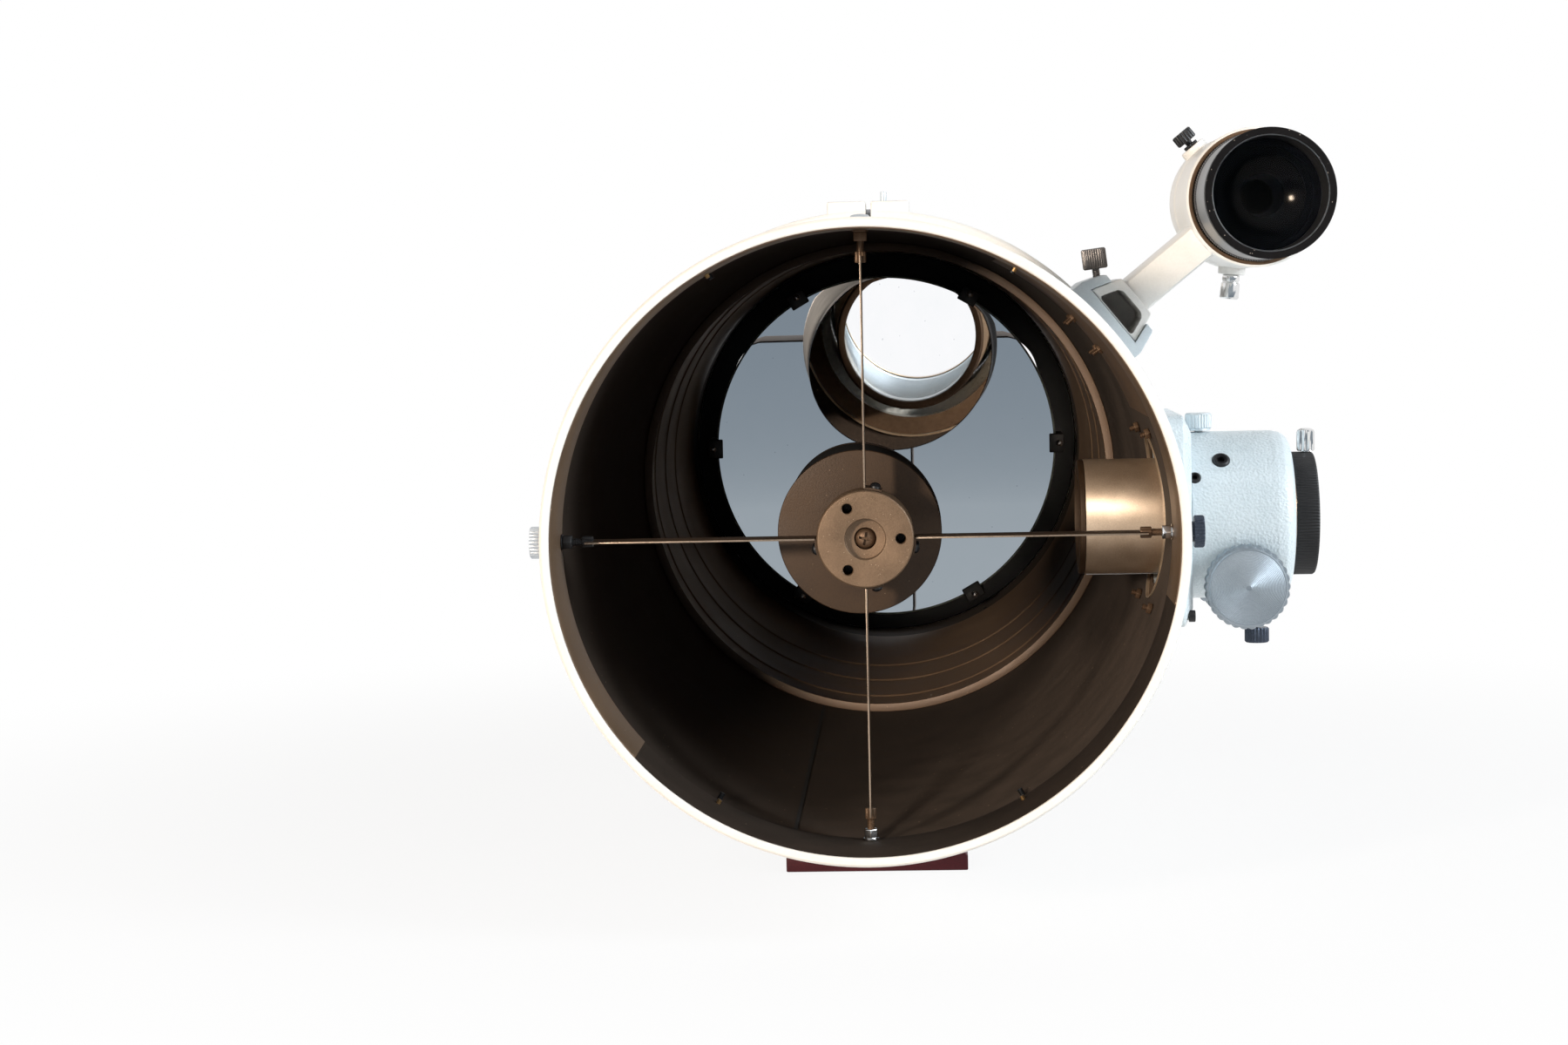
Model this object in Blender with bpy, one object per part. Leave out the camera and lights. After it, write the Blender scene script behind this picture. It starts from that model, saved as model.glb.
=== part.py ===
"""Newtonian reflector telescope tube with its finder scope, focuser, tube rings and dovetail plate.

Metres, +Z up. The tube's axis lies along Y with its open front at -Y, the focuser points to +X, and the
origin is the middle of the dovetail plate's bottom face. Depths are measured from the front rim along +Y.
"""

from math import cos, degrees, pi, radians, sin, sqrt

import bmesh
import bpy
from mathutils import Matrix, Vector

# Clearances
FIT = 0.0003             # faces that touch on the real object
RUN = 0.0005             # turning and sliding fits
HOLE_CLEARANCE = 0.0006  # holes round screws and studs

# Round pieces: facets per turn
TUBE_FACETS = 48
BARREL_FACETS = 28
SMALL_FACETS = 12
HOLE_FACETS = 10
ORING_FACETS = 6

# Optics
MIRROR_THICKNESS = 0.036
MIRROR_DEPTH = 0.890
FOCAL_LENGTH = 1.000
MIRROR_RINGS = 3
MIRROR_CHAMFER = 0.0015

# Optical tube and its end rings
TUBE_DIAMETER = 0.2934
TUBE_WALL = 0.0010
MIRROR_TO_TUBE = 0.0187
END_RING_WALL = 0.0022
END_RING_BEVEL = 0.0012
COLLAR_WALL = 0.0012
COLLAR_DEPTH = 0.050
FRONT_FLANGE_LENGTH = 0.062
RIM_THICKNESS = 0.004
REAR_FLANGE_LENGTH = 0.065
REAR_LIP_THICKNESS = 0.008
REAR_LIP_WIDTH = 0.0085
BAFFLE_DEPTH = 0.493
BAFFLE_HEIGHT = 0.005
BAFFLE_FLANGE = 0.010
BAFFLE_SHEET = 0.0012

# Mirror cell
CARRIER_THICKNESS = 0.008
CARRIER_INSET = 0.009
CARRIER_BORE = 0.030
SPRING_ROOM = 0.019
CELL_THICKNESS = 0.008
CELL_BORE = 0.048
CELL_EDGE_GAP = 0.0010
VENT_RADIUS = 0.030
BOLT_INSET = 0.027
BOLT_RADIUS = 0.003
BOLT_TIP_INSET = 0.003
BOLT_ANGLES = (90, 210, 330)
KNOB_RADIUS = 0.011
KNOB_LENGTH = 0.013
CLIP_COUNT = 6
CLIP_WIDTH = 0.014
CLIP_WALL = 0.005
CLIP_GAP = 0.0012
CLIP_REACH = 0.0060
CLIP_FINGER = 0.003
CLIP_FACE_GAP = 0.0006
ARM_INSET = 0.001
SPRING_TURNS = 4
SPRING_RADIUS = 0.0058
SPRING_WIRE = 0.0008
SPRING_STEPS = 8

# Spider and secondary
HUB_RADIUS = 0.0228
HUB_DEPTH = 0.031
HUB_LENGTH = 0.025
HUB_COUNTERBORE = 0.0094
HUB_COUNTERBORE_DEPTH = 0.005
HUB_HOLE_RADIUS = 0.0024
HUB_HOLE_CIRCLE = 0.0166
HUB_HOLE_ANGLES = (0, 120, 240)
HUB_SLOT_DEPTH = 0.0026
HUB_BEVEL = 0.0008
VANE_THICKNESS = 0.0012
VANE_DEPTH = 0.020
VANE_BACK_GAP = 0.0012
STUD_RADIUS = 0.0023
STUD_LENGTH = 0.0145
STUD_OVERLAP = 0.002
SPIDER_KNOB_RADIUS = 0.0076
SPIDER_KNOB_LENGTH = 0.0048
SPIDER_SHOULDER_RADIUS = 0.0048
SPIDER_SHOULDER_LENGTH = 0.0042
SPIDER_KNOB_CAP = 0.0015
SPIDER_NUT_LENGTH = 0.0020
SPIDER_NUT_VANES = ("top", "bottom")
CENTRE_BOLT_RADIUS = 0.003
CENTRE_BOLT_HEAD = 0.0050
CENTRE_BOLT_HEAD_LENGTH = 0.0032
CENTRE_BOLT_GRIP = 0.016
SECONDARY_RADIUS = 0.0395
SECONDARY_THICKNESS = 0.008
SECONDARY_OFFSET = 0.0034
HOLDER_GAP = 0.020

# Focuser, on an axis along +X
FOCUSER_DEPTH = 0.149
BASE_SIDE = 0.104
BASE_HEIGHT = 0.0118
BASE_CHAMFER = 0.0042
BASE_SLOPE = 0.009
BASE_CORNER = 0.010
BASE_SKIRT = 0.034
BODY_RADIUS = 0.0418
BODY_LENGTH = 0.0515
BODY_SHOULDER = 0.009
DRAWTUBE_RADIUS = 0.02885
DRAWTUBE_BORE = 0.0256
DRAWTUBE_INSIDE = 0.041
BODY_BORE_GAP = 0.0017
PORT_GAP = 0.0055
RING_RADIUS = 0.0310
RING_LENGTH = 0.0112
RING_LIP = 0.0062
RING_BEVEL = 0.0008
RING_STANDOFF = 0.0008
ROLLER_RADIUS = 0.005
ROLLER_WIDTH = 0.005
ROLLER_ANGLE = 45
ROLLER_SPACING = 0.026
POCKET_GAP = 0.0008
SHAFT_RADIUS = 0.003
FOCUS_KNOB_RADIUS = 0.0208
FOCUS_KNOB_LENGTH = 0.012
FOCUS_KNOB_FACE = 0.0188
FOCUS_KNOB_CONE = 0.0014
FOCUS_KNOB_LOBES = 24
FOCUS_KNOB_SCALLOP = 0.0011
FOCUS_KNOB_STANDOFF = 0.001
FOCUS_KNOB_TIP = 0.0008
FOCUS_KNOB_SKIN = 0.003
BLOCK_LENGTH = 0.027
BLOCK_WIDTH = 0.032
BLOCK_DROP = 0.0030
TENSION_OFFSET = 0.0095
TENSION_HEAD = 0.0061
TENSION_HEAD_LENGTH = 0.0075
TENSION_NECK = 0.0125
LOCK_OFFSET = 0.0070
LOCK_HEAD = 0.0066
LOCK_HEAD_LENGTH = 0.0088
SCREW_SHANK = 0.0020
SCREW_BEVEL = 0.0006
CLAMP_HEAD = 0.0045
CLAMP_HEAD_LENGTH = 0.0112

# Finder, its shoe and bracket, at an angle round the tube
FINDER_ANGLE = 39.0
FINDER_STANDOFF = 0.1045
FINDER_FRONT = 0.080
FINDER_CELL_RADIUS = 0.0313
FINDER_CELL_LENGTH = 0.050
FINDER_CELL_WALL = 0.0028
FINDER_SEAT_DEPTH = 0.022
FINDER_SEAT_HEIGHT = 0.0022
LENS_THICKNESS = 0.008
LENS_BULGE = 0.003
LOCK_RING_LENGTH = 0.006
LOCK_RING_STEP = 0.0005
FINDER_TUBE_RADIUS = 0.0285
FINDER_TUBE_WALL = 0.0020
FINDER_NOSE_STEP = 0.0012
FINDER_WAIST_RADIUS = 0.0240
FINDER_TAIL_RADIUS = 0.0165
FINDER_TUBE_LENGTH = 0.178
FINDER_TAPER_LENGTH = 0.025
EYEPIECE_RADIUS = 0.0172
EYEPIECE_LENGTH = 0.034
EYEPIECE_BORE = 0.008
EYECUP_RADIUS = 0.0195
EYECUP_LENGTH = 0.010
BRACKET_GAP = 0.0035
BRACKET_WALL = 0.0025
BRACKET_START = 0.062
BRACKET_LENGTH = 0.103
BOSS_RADIUS = 0.0070
BOSS_HEIGHT = 0.0035
ADJUSTER_SETBACK = 0.015
ADJUSTER_ANGLES = {"finder_adjuster_left": 129, "finder_adjuster_right": 17}
PLUNGER_ANGLE = 264
ADJUSTER_HEAD = 0.0056
ADJUSTER_HEAD_LENGTH = 0.0060
ADJUSTER_NECK = 0.0034
PLUNGER_RADIUS = 0.0050
PLUNGER_NECK_RADIUS = 0.0036
PLUNGER_LENGTH = 0.0130
PLUNGER_STROKE = 0.0060
PLUNGER_CAP = 0.0020
ORING_SETBACK = 0.006
SHOE_LENGTH = 0.060
SHOE_START = 0.150
SHOE_FLOOR = 0.0130
SHOE_WIDTH = 0.046
CHANNEL_WIDTH = 0.0348
CHANNEL_DEPTH = 0.0105
CHANNEL_LEAN = 0.0036
SHOE_WALL_TOP = 0.0050
SHOE_SIDE_LEAN = 0.0020
FOOT_WALL = 0.0020
FOOT_HEIGHT = 0.0150
FOOT_TOP_WIDTH = 0.0240
FOOT_LENGTH = 0.056
STALK_WIDTH = 0.018
STALK_LENGTH = 0.050
SHOE_SCREW_LEAN = 32
SHOE_SCREW_HEAD = 0.0063
SHOE_SCREW_HEAD_LENGTH = 0.0105
SHOE_SCREW_NECK = 0.0006

# Tube rings and dovetail plate
RING_LINER = 0.0018
CRADLE_WALL = 0.0112
CRADLE_WIDTH = 0.030
CRADLE_DEPTHS = {"front": 0.300, "rear": 0.572}
CRADLE_BEVEL = 0.0015
EAR_HALF_WIDTH = 0.0225
EAR_RISE = 0.0050
EAR_GAP = 0.0028
HINGE_ANGLE = 250
HINGE_RADIUS = 0.0065
HINGE_PIN_RADIUS = 0.0025
HINGE_STANDOFF = 0.0045
KNUCKLE_SHARE = 3
FOOT_PAD_HEIGHT = 0.012
FOOT_PAD_WIDTH = 0.070
CLAMP_BOLT_RADIUS = 0.003
CLAMP_BOLT_HEAD = 0.005
CLAMP_BOLT_HEAD_LENGTH = 0.006
CLAMP_BOLT_DROP = 0.0070
PLATE_FRONT = 0.188
PLATE_LENGTH = 0.480
PLATE_WIDTH = 0.095
PLATE_THICKNESS = 0.015
PLATE_LAND = 0.008
PLATE_UNDERCUT = 0.0060

# Sizes that follow
TUBE_OUTER = TUBE_DIAMETER / 2
TUBE_INNER = TUBE_OUTER - TUBE_WALL
MIRROR_RADIUS = TUBE_INNER - MIRROR_TO_TUBE
END_RING_RADIUS = TUBE_OUTER + FIT + END_RING_WALL
COLLAR_OUTER = TUBE_INNER - FIT
COLLAR_INNER = COLLAR_OUTER - COLLAR_WALL
MIRROR_BACK = MIRROR_DEPTH + MIRROR_THICKNESS
CARRIER_RADIUS = MIRROR_RADIUS - CARRIER_INSET
BOLT_CIRCLE = MIRROR_RADIUS - BOLT_INSET
CARRIER_FRONT = MIRROR_BACK + FIT
CARRIER_BACK = CARRIER_FRONT + CARRIER_THICKNESS
CELL_FRONT = CARRIER_BACK + SPRING_ROOM
CELL_BACK = CELL_FRONT + CELL_THICKNESS
REAR_LIP_FRONT = CELL_BACK + FIT
REAR_END = REAR_LIP_FRONT + REAR_LIP_THICKNESS
TUBE_FRONT = RIM_THICKNESS + FIT
TUBE_END = REAR_LIP_FRONT - FIT
CRADLE_INNER = TUBE_OUTER + RING_LINER
CRADLE_OUTER = CRADLE_INNER + CRADLE_WALL
PAD_BOTTOM = CRADLE_OUTER + FOOT_PAD_HEIGHT
AXIS_Z = PAD_BOTTOM + FIT + PLATE_THICKNESS
FRONT_Y = -(PLATE_FRONT + PLATE_LENGTH / 2)
VANE_FRONT = HUB_DEPTH + HUB_LENGTH - VANE_BACK_GAP - VANE_DEPTH
STUD_DEPTH = VANE_FRONT + VANE_DEPTH / 2
STUD_START = COLLAR_INNER - STUD_LENGTH
SPIDER_KNOB_SEAT = END_RING_RADIUS + FIT
SPIDER_KNOB_TOP = SPIDER_KNOB_SEAT + SPIDER_SHOULDER_LENGTH + SPIDER_KNOB_LENGTH
SPIDER_NUT_TOP = SPIDER_KNOB_SEAT + SPIDER_NUT_LENGTH
VANE_ROOT = HUB_RADIUS - HUB_SLOT_DEPTH + FIT
HOLDER_FRONT = HUB_DEPTH + HUB_LENGTH + HOLDER_GAP
BASE_TOP = TUBE_OUTER + BASE_HEIGHT
BODY_START = BASE_TOP + FIT
BODY_END = BODY_START + BODY_LENGTH
BODY_BORE = DRAWTUBE_RADIUS + BODY_BORE_GAP
DRAWTUBE_START = TUBE_INNER - DRAWTUBE_INSIDE
RING_START = BODY_END + RING_STANDOFF
RING_END = RING_START + RING_LENGTH
DRAWTUBE_END = RING_END - RING_LIP - FIT
SHAFT_X = (BODY_START + BODY_END) / 2
SHAFT_DROP = DRAWTUBE_RADIUS + FIT + SHAFT_RADIUS
KNOB_BACK = sqrt(BODY_RADIUS ** 2 - (SHAFT_DROP - FOCUS_KNOB_RADIUS) ** 2) + FOCUS_KNOB_STANDOFF
BLOCK_BOTTOM = BODY_RADIUS + BLOCK_DROP
FINDER_RADIUS = TUBE_OUTER + FINDER_STANDOFF
FINDER_X = FINDER_RADIUS * cos(radians(FINDER_ANGLE))
FINDER_Z = FINDER_RADIUS * sin(radians(FINDER_ANGLE))
FINDER_CELL_END = FINDER_FRONT + FINDER_CELL_LENGTH
LOCK_RING_START = FINDER_CELL_END + RUN
LOCK_RING_END = LOCK_RING_START + LOCK_RING_LENGTH
BRACKET_FRONT = FINDER_FRONT + BRACKET_START
BRACKET_BACK = BRACKET_FRONT + BRACKET_LENGTH
BRACKET_INNER = FINDER_TUBE_RADIUS + BRACKET_GAP
BRACKET_OUTER = BRACKET_INNER + BRACKET_WALL
ADJUSTER_DEPTH = BRACKET_BACK - ADJUSTER_SETBACK
ORING_DEPTH = BRACKET_FRONT + ORING_SETBACK
BOSS_TOP = BRACKET_OUTER + BOSS_HEIGHT
FINDER_TUBE_FRONT = FINDER_FRONT + FINDER_SEAT_DEPTH + LENS_THICKNESS + LENS_BULGE + FINDER_SEAT_HEIGHT
FINDER_TUBE_END = FINDER_TUBE_FRONT + FINDER_TUBE_LENGTH
SHOE_TOP = TUBE_OUTER + SHOE_FLOOR

# Frames: local Z runs along the named axis
TUBE_FRAME = Matrix.Translation((0, FRONT_Y, AXIS_Z)) @ Matrix.Rotation(-pi / 2, 4, "X")
FOCUSER_FRAME = Matrix.Translation((0, FRONT_Y + FOCUSER_DEPTH, AXIS_Z)) @ Matrix.Rotation(pi / 2, 4, "Y")
FINDER_FRAME = Matrix.Translation((FINDER_X, FRONT_Y, AXIS_Z + FINDER_Z)) @ Matrix.Rotation(-pi / 2, 4, "X")
# Across the shoe: local X round the tube, local Y outwards, local Z towards the front
SHOE_FRAME = (
    Matrix.Translation((0, FRONT_Y, AXIS_Z))
    @ Matrix.Rotation(-radians(FINDER_ANGLE - 90), 4, "Y")
    @ Matrix.Rotation(pi / 2, 4, "X")
)


def at(x, depth, z):
    """A point given from the tube's axis and its front rim."""
    return Vector((x, FRONT_Y + depth, AXIS_Z + z))


def aim(point, direction):
    """A frame at a point with local Z along a direction square to the tube and local Y along the tube."""
    along = Vector((0, 1, 0))
    across = along.cross(direction)
    turn = Matrix((across, along, direction)).transposed()
    return Matrix.Translation(point) @ turn.to_4x4()


def round_the_tube(angle):
    """The unit vector at an angle round the tube, from +X towards +Z."""
    return Vector((cos(radians(angle)), 0, sin(radians(angle))))


def tube_spot(radius, angle):
    """A frame along the tube, off its axis by a radius at an angle from +X towards +Z."""
    return TUBE_FRAME @ Matrix.Rotation(-radians(angle), 4, "Z") @ Matrix.Translation((radius, 0, 0))


def clear_scene():
    for old in list(bpy.data.objects):
        bpy.data.objects.remove(old)


def finish(name, colour, roughness, metallic):
    """A material with one finish."""
    made = bpy.data.materials.new(name)
    made.use_nodes = True
    shader = made.node_tree.nodes["Principled BSDF"]
    shader.inputs["Base Color"].default_value = (*colour, 1)
    shader.inputs["Roughness"].default_value = roughness
    shader.inputs["Metallic"].default_value = metallic
    return made


def link(name, mesh, material=None, origin=(0, 0, 0)):
    """A named object whose origin lies at a world point, from a mesh in world coordinates."""
    mesh.transform(Matrix.Translation(-Vector(origin)))
    made = bpy.data.objects.new(name, mesh)
    made.location = origin
    bpy.context.scene.collection.objects.link(made)
    if material:
        mesh.materials.append(material)
    return made


def to_mesh(name, shape, frame):
    """The bmesh closed, facing out, placed by a frame and shaded smooth."""
    bmesh.ops.remove_doubles(shape, verts=shape.verts, dist=1e-6)
    bmesh.ops.recalc_face_normals(shape, faces=shape.faces)
    bmesh.ops.transform(shape, matrix=frame, verts=shape.verts)
    mesh = bpy.data.meshes.new(name)
    shape.to_mesh(mesh)
    shape.free()
    mesh.shade_smooth()
    mesh.set_sharp_from_angle(angle=radians(30))
    return mesh


def add_loop(shape, points):
    """A closed wire through the points."""
    verts = [shape.verts.new(point) for point in points]
    edges = [shape.edges.new((verts[i - 1], verts[i])) for i in range(len(verts))]
    return verts, edges


def turned(profile, facets, turn=2 * pi):
    """A closed (radius, height) profile turned about local Z, with flat ends on a part turn."""
    shape = bmesh.new()
    verts, edges = add_loop(shape, [(radius, 0, height) for radius, height in profile])
    whole = turn >= 2 * pi
    bmesh.ops.spin(shape, geom=verts + edges, cent=(0, 0, 0), axis=(0, 0, 1), angle=turn, steps=facets,
                   use_merge=whole)
    if not whole:
        ends = [edge for edge in shape.edges if edge.is_boundary]
        bmesh.ops.holes_fill(shape, edges=ends)
    return shape


def extruded(outline, start, end):
    """A closed (x, y) outline run along local Z."""
    shape = bmesh.new()
    face = shape.faces.new([shape.verts.new((x, y, start)) for x, y in outline])
    grown = bmesh.ops.extrude_face_region(shape, geom=[face])["geom"]
    moved = [part for part in grown if isinstance(part, bmesh.types.BMVert)]
    bmesh.ops.translate(shape, vec=(0, 0, end - start), verts=moved)
    return shape


def lofted(loops):
    """Rings of equal count bridged in order, with flat ends."""
    shape = bmesh.new()
    rings = [add_loop(shape, points)[1] for points in loops]
    for near, far in zip(rings, rings[1:]):
        bmesh.ops.bridge_loops(shape, edges=near + far)
    bmesh.ops.holes_fill(shape, edges=rings[0])
    bmesh.ops.holes_fill(shape, edges=rings[-1])
    return shape


def merged(shapes):
    """Several bmeshes as one, each still a body of its own."""
    whole = bmesh.new()
    for shape, frame in shapes:
        mesh = to_mesh("piece", shape, frame)
        whole.from_mesh(mesh)
        bpy.data.meshes.remove(mesh)
    return whole


def rod(radius, start, end, facets=HOLE_FACETS):
    """A plain round bar along local Z."""
    return turned([(0, start), (radius, start), (radius, end), (0, end)], facets)


def block(low, high):
    """A rectangular bar between two corners."""
    outline = [(low[0], low[1]), (high[0], low[1]), (high[0], high[1]), (low[0], high[1])]
    return extruded(outline, low[2], high[2])


def helper(name, shape, frame=Matrix.Identity(4)):
    """A cutter or an added shape, which isn't itself part of the object."""
    made = link(name, to_mesh(name, shape, frame))
    made.hide_render = True
    made.display_type = "WIRE"
    return made


def combine(target, other, operation):
    """A Boolean kept on the target, and its faces split flat for the next one."""
    made = target.modifiers.new(other.name, "BOOLEAN")
    made.object = other
    made.operation = operation
    made.solver = "EXACT"
    target.modifiers.new("flat", "TRIANGULATE")


def piece(name, shape, frame, material, origin=(0, 0, 0)):
    return link(name, to_mesh(name, shape, frame), material, origin)


def thumbscrew(shank, head, neck, length, reach):
    """A screw from its tip at 0 up to its head, along local Z: shank to reach, then neck, then head."""
    seat = reach + neck
    top = seat + length
    edge = head - SCREW_BEVEL
    return turned(
        [(0, 0), (shank, 0), (shank, seat), (edge, seat),
         (head, seat + SCREW_BEVEL), (head, top - SCREW_BEVEL),
         (edge, top), (0, top)],
        SMALL_FACETS,
    )


def spider_frames():
    """The four vane directions, by name."""
    named = {"right": 0, "top": 90, "left": 180, "bottom": 270}
    return {name: aim(at(0, STUD_DEPTH, 0), round_the_tube(angle)) for name, angle in named.items()}


def build_tube(paint, casting, black):
    """The sheet tube, its cast end rings and the baffle inside."""
    tube = piece(
        "main_tube",
        turned([(TUBE_INNER, TUBE_FRONT), (TUBE_OUTER, TUBE_FRONT),
                (TUBE_OUTER, TUBE_END), (TUBE_INNER, TUBE_END)],
               TUBE_FACETS),
        TUBE_FRAME, paint,
    )
    front = piece(
        "front_end_ring",
        turned(
            [(COLLAR_INNER, END_RING_BEVEL / 2), (COLLAR_INNER + END_RING_BEVEL / 2, 0),
             (END_RING_RADIUS - END_RING_BEVEL, 0), (END_RING_RADIUS, END_RING_BEVEL),
             (END_RING_RADIUS, FRONT_FLANGE_LENGTH), (TUBE_OUTER + FIT, FRONT_FLANGE_LENGTH),
             (TUBE_OUTER + FIT, RIM_THICKNESS), (COLLAR_OUTER, RIM_THICKNESS), (COLLAR_OUTER, COLLAR_DEPTH),
             (COLLAR_INNER, COLLAR_DEPTH)],
            TUBE_FACETS,
        ),
        TUBE_FRAME, casting,
    )
    flange_start = REAR_END - REAR_FLANGE_LENGTH
    lip = TUBE_INNER - REAR_LIP_WIDTH
    piece(
        "rear_end_ring",
        turned(
            [(TUBE_OUTER + FIT, flange_start), (END_RING_RADIUS, flange_start),
             (END_RING_RADIUS, REAR_END - END_RING_BEVEL), (END_RING_RADIUS - END_RING_BEVEL, REAR_END),
             (lip, REAR_END), (lip, REAR_LIP_FRONT), (TUBE_OUTER + FIT, REAR_LIP_FRONT)],
            TUBE_FACETS,
        ),
        TUBE_FRAME, casting,
    )
    outer = TUBE_INNER - FIT
    piece(
        "baffle_ring",
        turned(
            [(outer, BAFFLE_DEPTH), (outer, BAFFLE_DEPTH + BAFFLE_FLANGE),
             (outer - BAFFLE_SHEET, BAFFLE_DEPTH + BAFFLE_FLANGE),
             (outer - BAFFLE_SHEET, BAFFLE_DEPTH + BAFFLE_SHEET),
             (outer - BAFFLE_HEIGHT, BAFFLE_DEPTH + BAFFLE_SHEET), (outer - BAFFLE_HEIGHT, BAFFLE_DEPTH)],
            TUBE_FACETS,
        ),
        TUBE_FRAME, black,
    )
    stud_hole = STUD_RADIUS + HOLE_CLEARANCE
    drill = [(rod(stud_hole, STUD_START, SPIDER_KNOB_TOP), frame) for frame in spider_frames().values()]
    drilled = helper("stud_holes", merged(drill))
    port = helper("focuser_port", rod(DRAWTUBE_RADIUS + PORT_GAP, TUBE_INNER / 2, BASE_TOP, BARREL_FACETS),
                  FOCUSER_FRAME)
    combine(tube, drilled, "DIFFERENCE")
    combine(tube, port, "DIFFERENCE")
    combine(front, drilled, "DIFFERENCE")


def clip_outline():
    """A mirror clip in section: an arm off the carrier, a post at the mirror's edge and a finger over it."""
    inner = MIRROR_RADIUS + CLIP_GAP
    outer = inner + CLIP_WALL
    root = CARRIER_RADIUS - CLIP_WALL
    face = MIRROR_DEPTH - CLIP_FACE_GAP
    low, high = CARRIER_FRONT + ARM_INSET, CARRIER_BACK - ARM_INSET
    return [(root, high), (outer, high), (outer, face - CLIP_FINGER),
            (inner - CLIP_REACH, face - CLIP_FINGER),
            (inner - CLIP_REACH, face), (inner, face), (inner, low), (root, low)]


def build_mirror_cell(glass, black, metal, steel):
    """The primary mirror on its tilting carrier, sprung off the fixed cell by three collimation bolts."""
    pivot = at(0, (CARRIER_FRONT + CARRIER_BACK) / 2, BOLT_CIRCLE * sin(radians(BOLT_ANGLES[1])))
    vertex = MIRROR_DEPTH + MIRROR_RADIUS ** 2 / (4 * FOCAL_LENGTH)
    face_radius = MIRROR_RADIUS - MIRROR_CHAMFER
    rings = [face_radius * i / MIRROR_RINGS for i in range(MIRROR_RINGS + 1)]
    dish = [(radius, vertex - radius ** 2 / (4 * FOCAL_LENGTH)) for radius in rings]
    rim = [(MIRROR_RADIUS, dish[-1][1] + MIRROR_CHAMFER), (MIRROR_RADIUS, MIRROR_BACK), (0, MIRROR_BACK)]
    piece("primary_mirror", turned(dish + rim, TUBE_FACETS), TUBE_FRAME, glass, pivot)

    carrier = piece(
        "mirror_carrier",
        turned([(CARRIER_BORE, CARRIER_FRONT), (CARRIER_RADIUS, CARRIER_FRONT),
                (CARRIER_RADIUS, CARRIER_BACK),
                (CARRIER_BORE, CARRIER_BACK)], TUBE_FACETS),
        TUBE_FRAME, black, pivot,
    )
    turns = [TUBE_FRAME @ Matrix.Rotation(2 * pi * i / CLIP_COUNT, 4, "Z") @ Matrix.Rotation(pi / 2, 4, "X")
             for i in range(CLIP_COUNT)]
    clips = merged([(extruded(clip_outline(), -CLIP_WIDTH / 2, CLIP_WIDTH / 2), turn) for turn in turns])
    combine(carrier, helper("clips", clips), "UNION")

    cell = piece(
        "mirror_cell",
        turned([(CELL_BORE, CELL_FRONT), (TUBE_INNER - CELL_EDGE_GAP, CELL_FRONT),
                (TUBE_INNER - CELL_EDGE_GAP, CELL_BACK), (CELL_BORE, CELL_BACK)], TUBE_FACETS),
        TUBE_FRAME, black,
    )
    bolt_hole = BOLT_RADIUS + HOLE_CLEARANCE
    drilled, vents = [], []
    for angle in BOLT_ANGLES:
        drilled.append((rod(bolt_hole, MIRROR_BACK + FIT / 2, REAR_END), tube_spot(BOLT_CIRCLE, angle)))
        between = tube_spot(BOLT_CIRCLE, angle + 180 / len(BOLT_ANGLES))
        vents.append((rod(VENT_RADIUS, CARRIER_BACK, REAR_END, BARREL_FACETS), between))
    drilled = helper("bolt_holes", merged(drilled))
    combine(carrier, drilled, "DIFFERENCE")
    combine(cell, drilled, "DIFFERENCE")
    combine(cell, helper("vents", merged(vents)), "DIFFERENCE")

    for number, angle in enumerate(BOLT_ANGLES, 1):
        spot = tube_spot(BOLT_CIRCLE, angle)
        head = CELL_BACK + FIT
        tip = CARRIER_FRONT + BOLT_TIP_INSET
        bolt = thumbscrew(BOLT_RADIUS, KNOB_RADIUS, 0, KNOB_LENGTH, head - tip)
        frame = spot @ Matrix.Translation((0, 0, tip))
        piece(f"collimation_knob_{number}", bolt, frame, metal, frame.translation)
        build_spring(f"mirror_spring_{number}", spot, steel)


def build_spring(name, spot, steel):
    """A coil spring round a collimation bolt, one unbroken wire."""
    start = CARRIER_BACK + FIT + SPRING_WIRE
    end = CELL_FRONT - FIT - SPRING_WIRE
    count = SPRING_TURNS * SPRING_STEPS
    wire = bpy.data.curves.new(name, "CURVE")
    wire.dimensions = "3D"
    wire.bevel_depth = SPRING_WIRE
    wire.bevel_resolution = 1
    wire.use_fill_caps = True
    coil = wire.splines.new("POLY")
    coil.points.add(count)
    for i, point in enumerate(coil.points):
        turn = 2 * pi * i / SPRING_STEPS
        height = start + (end - start) * i / count
        point.co = (*(spot @ Vector((SPRING_RADIUS * cos(turn), SPRING_RADIUS * sin(turn), height))), 1)
    path = [point.co.to_3d() for point in coil.points]
    gap = min((far - near).length for near, far in zip(path, path[SPRING_STEPS:])) - 2 * SPRING_WIRE
    print(f"{name}: least gap between turns {gap * 1000:.2f} mm")
    made = bpy.data.objects.new(name, wire)
    bpy.context.scene.collection.objects.link(made)
    wire.materials.append(steel)


def spider_knob(top):
    """A cap on a stud, from its seat along local Z: a shoulder, and a wider head where it is tall enough."""
    bored = STUD_RADIUS + FIT
    inside = top - SPIDER_KNOB_CAP
    step = SPIDER_KNOB_SEAT + SPIDER_SHOULDER_LENGTH
    outside = [(bored, SPIDER_KNOB_SEAT), (SPIDER_SHOULDER_RADIUS, SPIDER_KNOB_SEAT)]
    if top > step:
        outside += [(SPIDER_SHOULDER_RADIUS, step), (SPIDER_KNOB_RADIUS, step), (SPIDER_KNOB_RADIUS, top)]
    else:
        outside.append((SPIDER_SHOULDER_RADIUS, top))
    return turned(outside + [(0, top), (0, inside), (bored, inside)], SMALL_FACETS)


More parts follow.
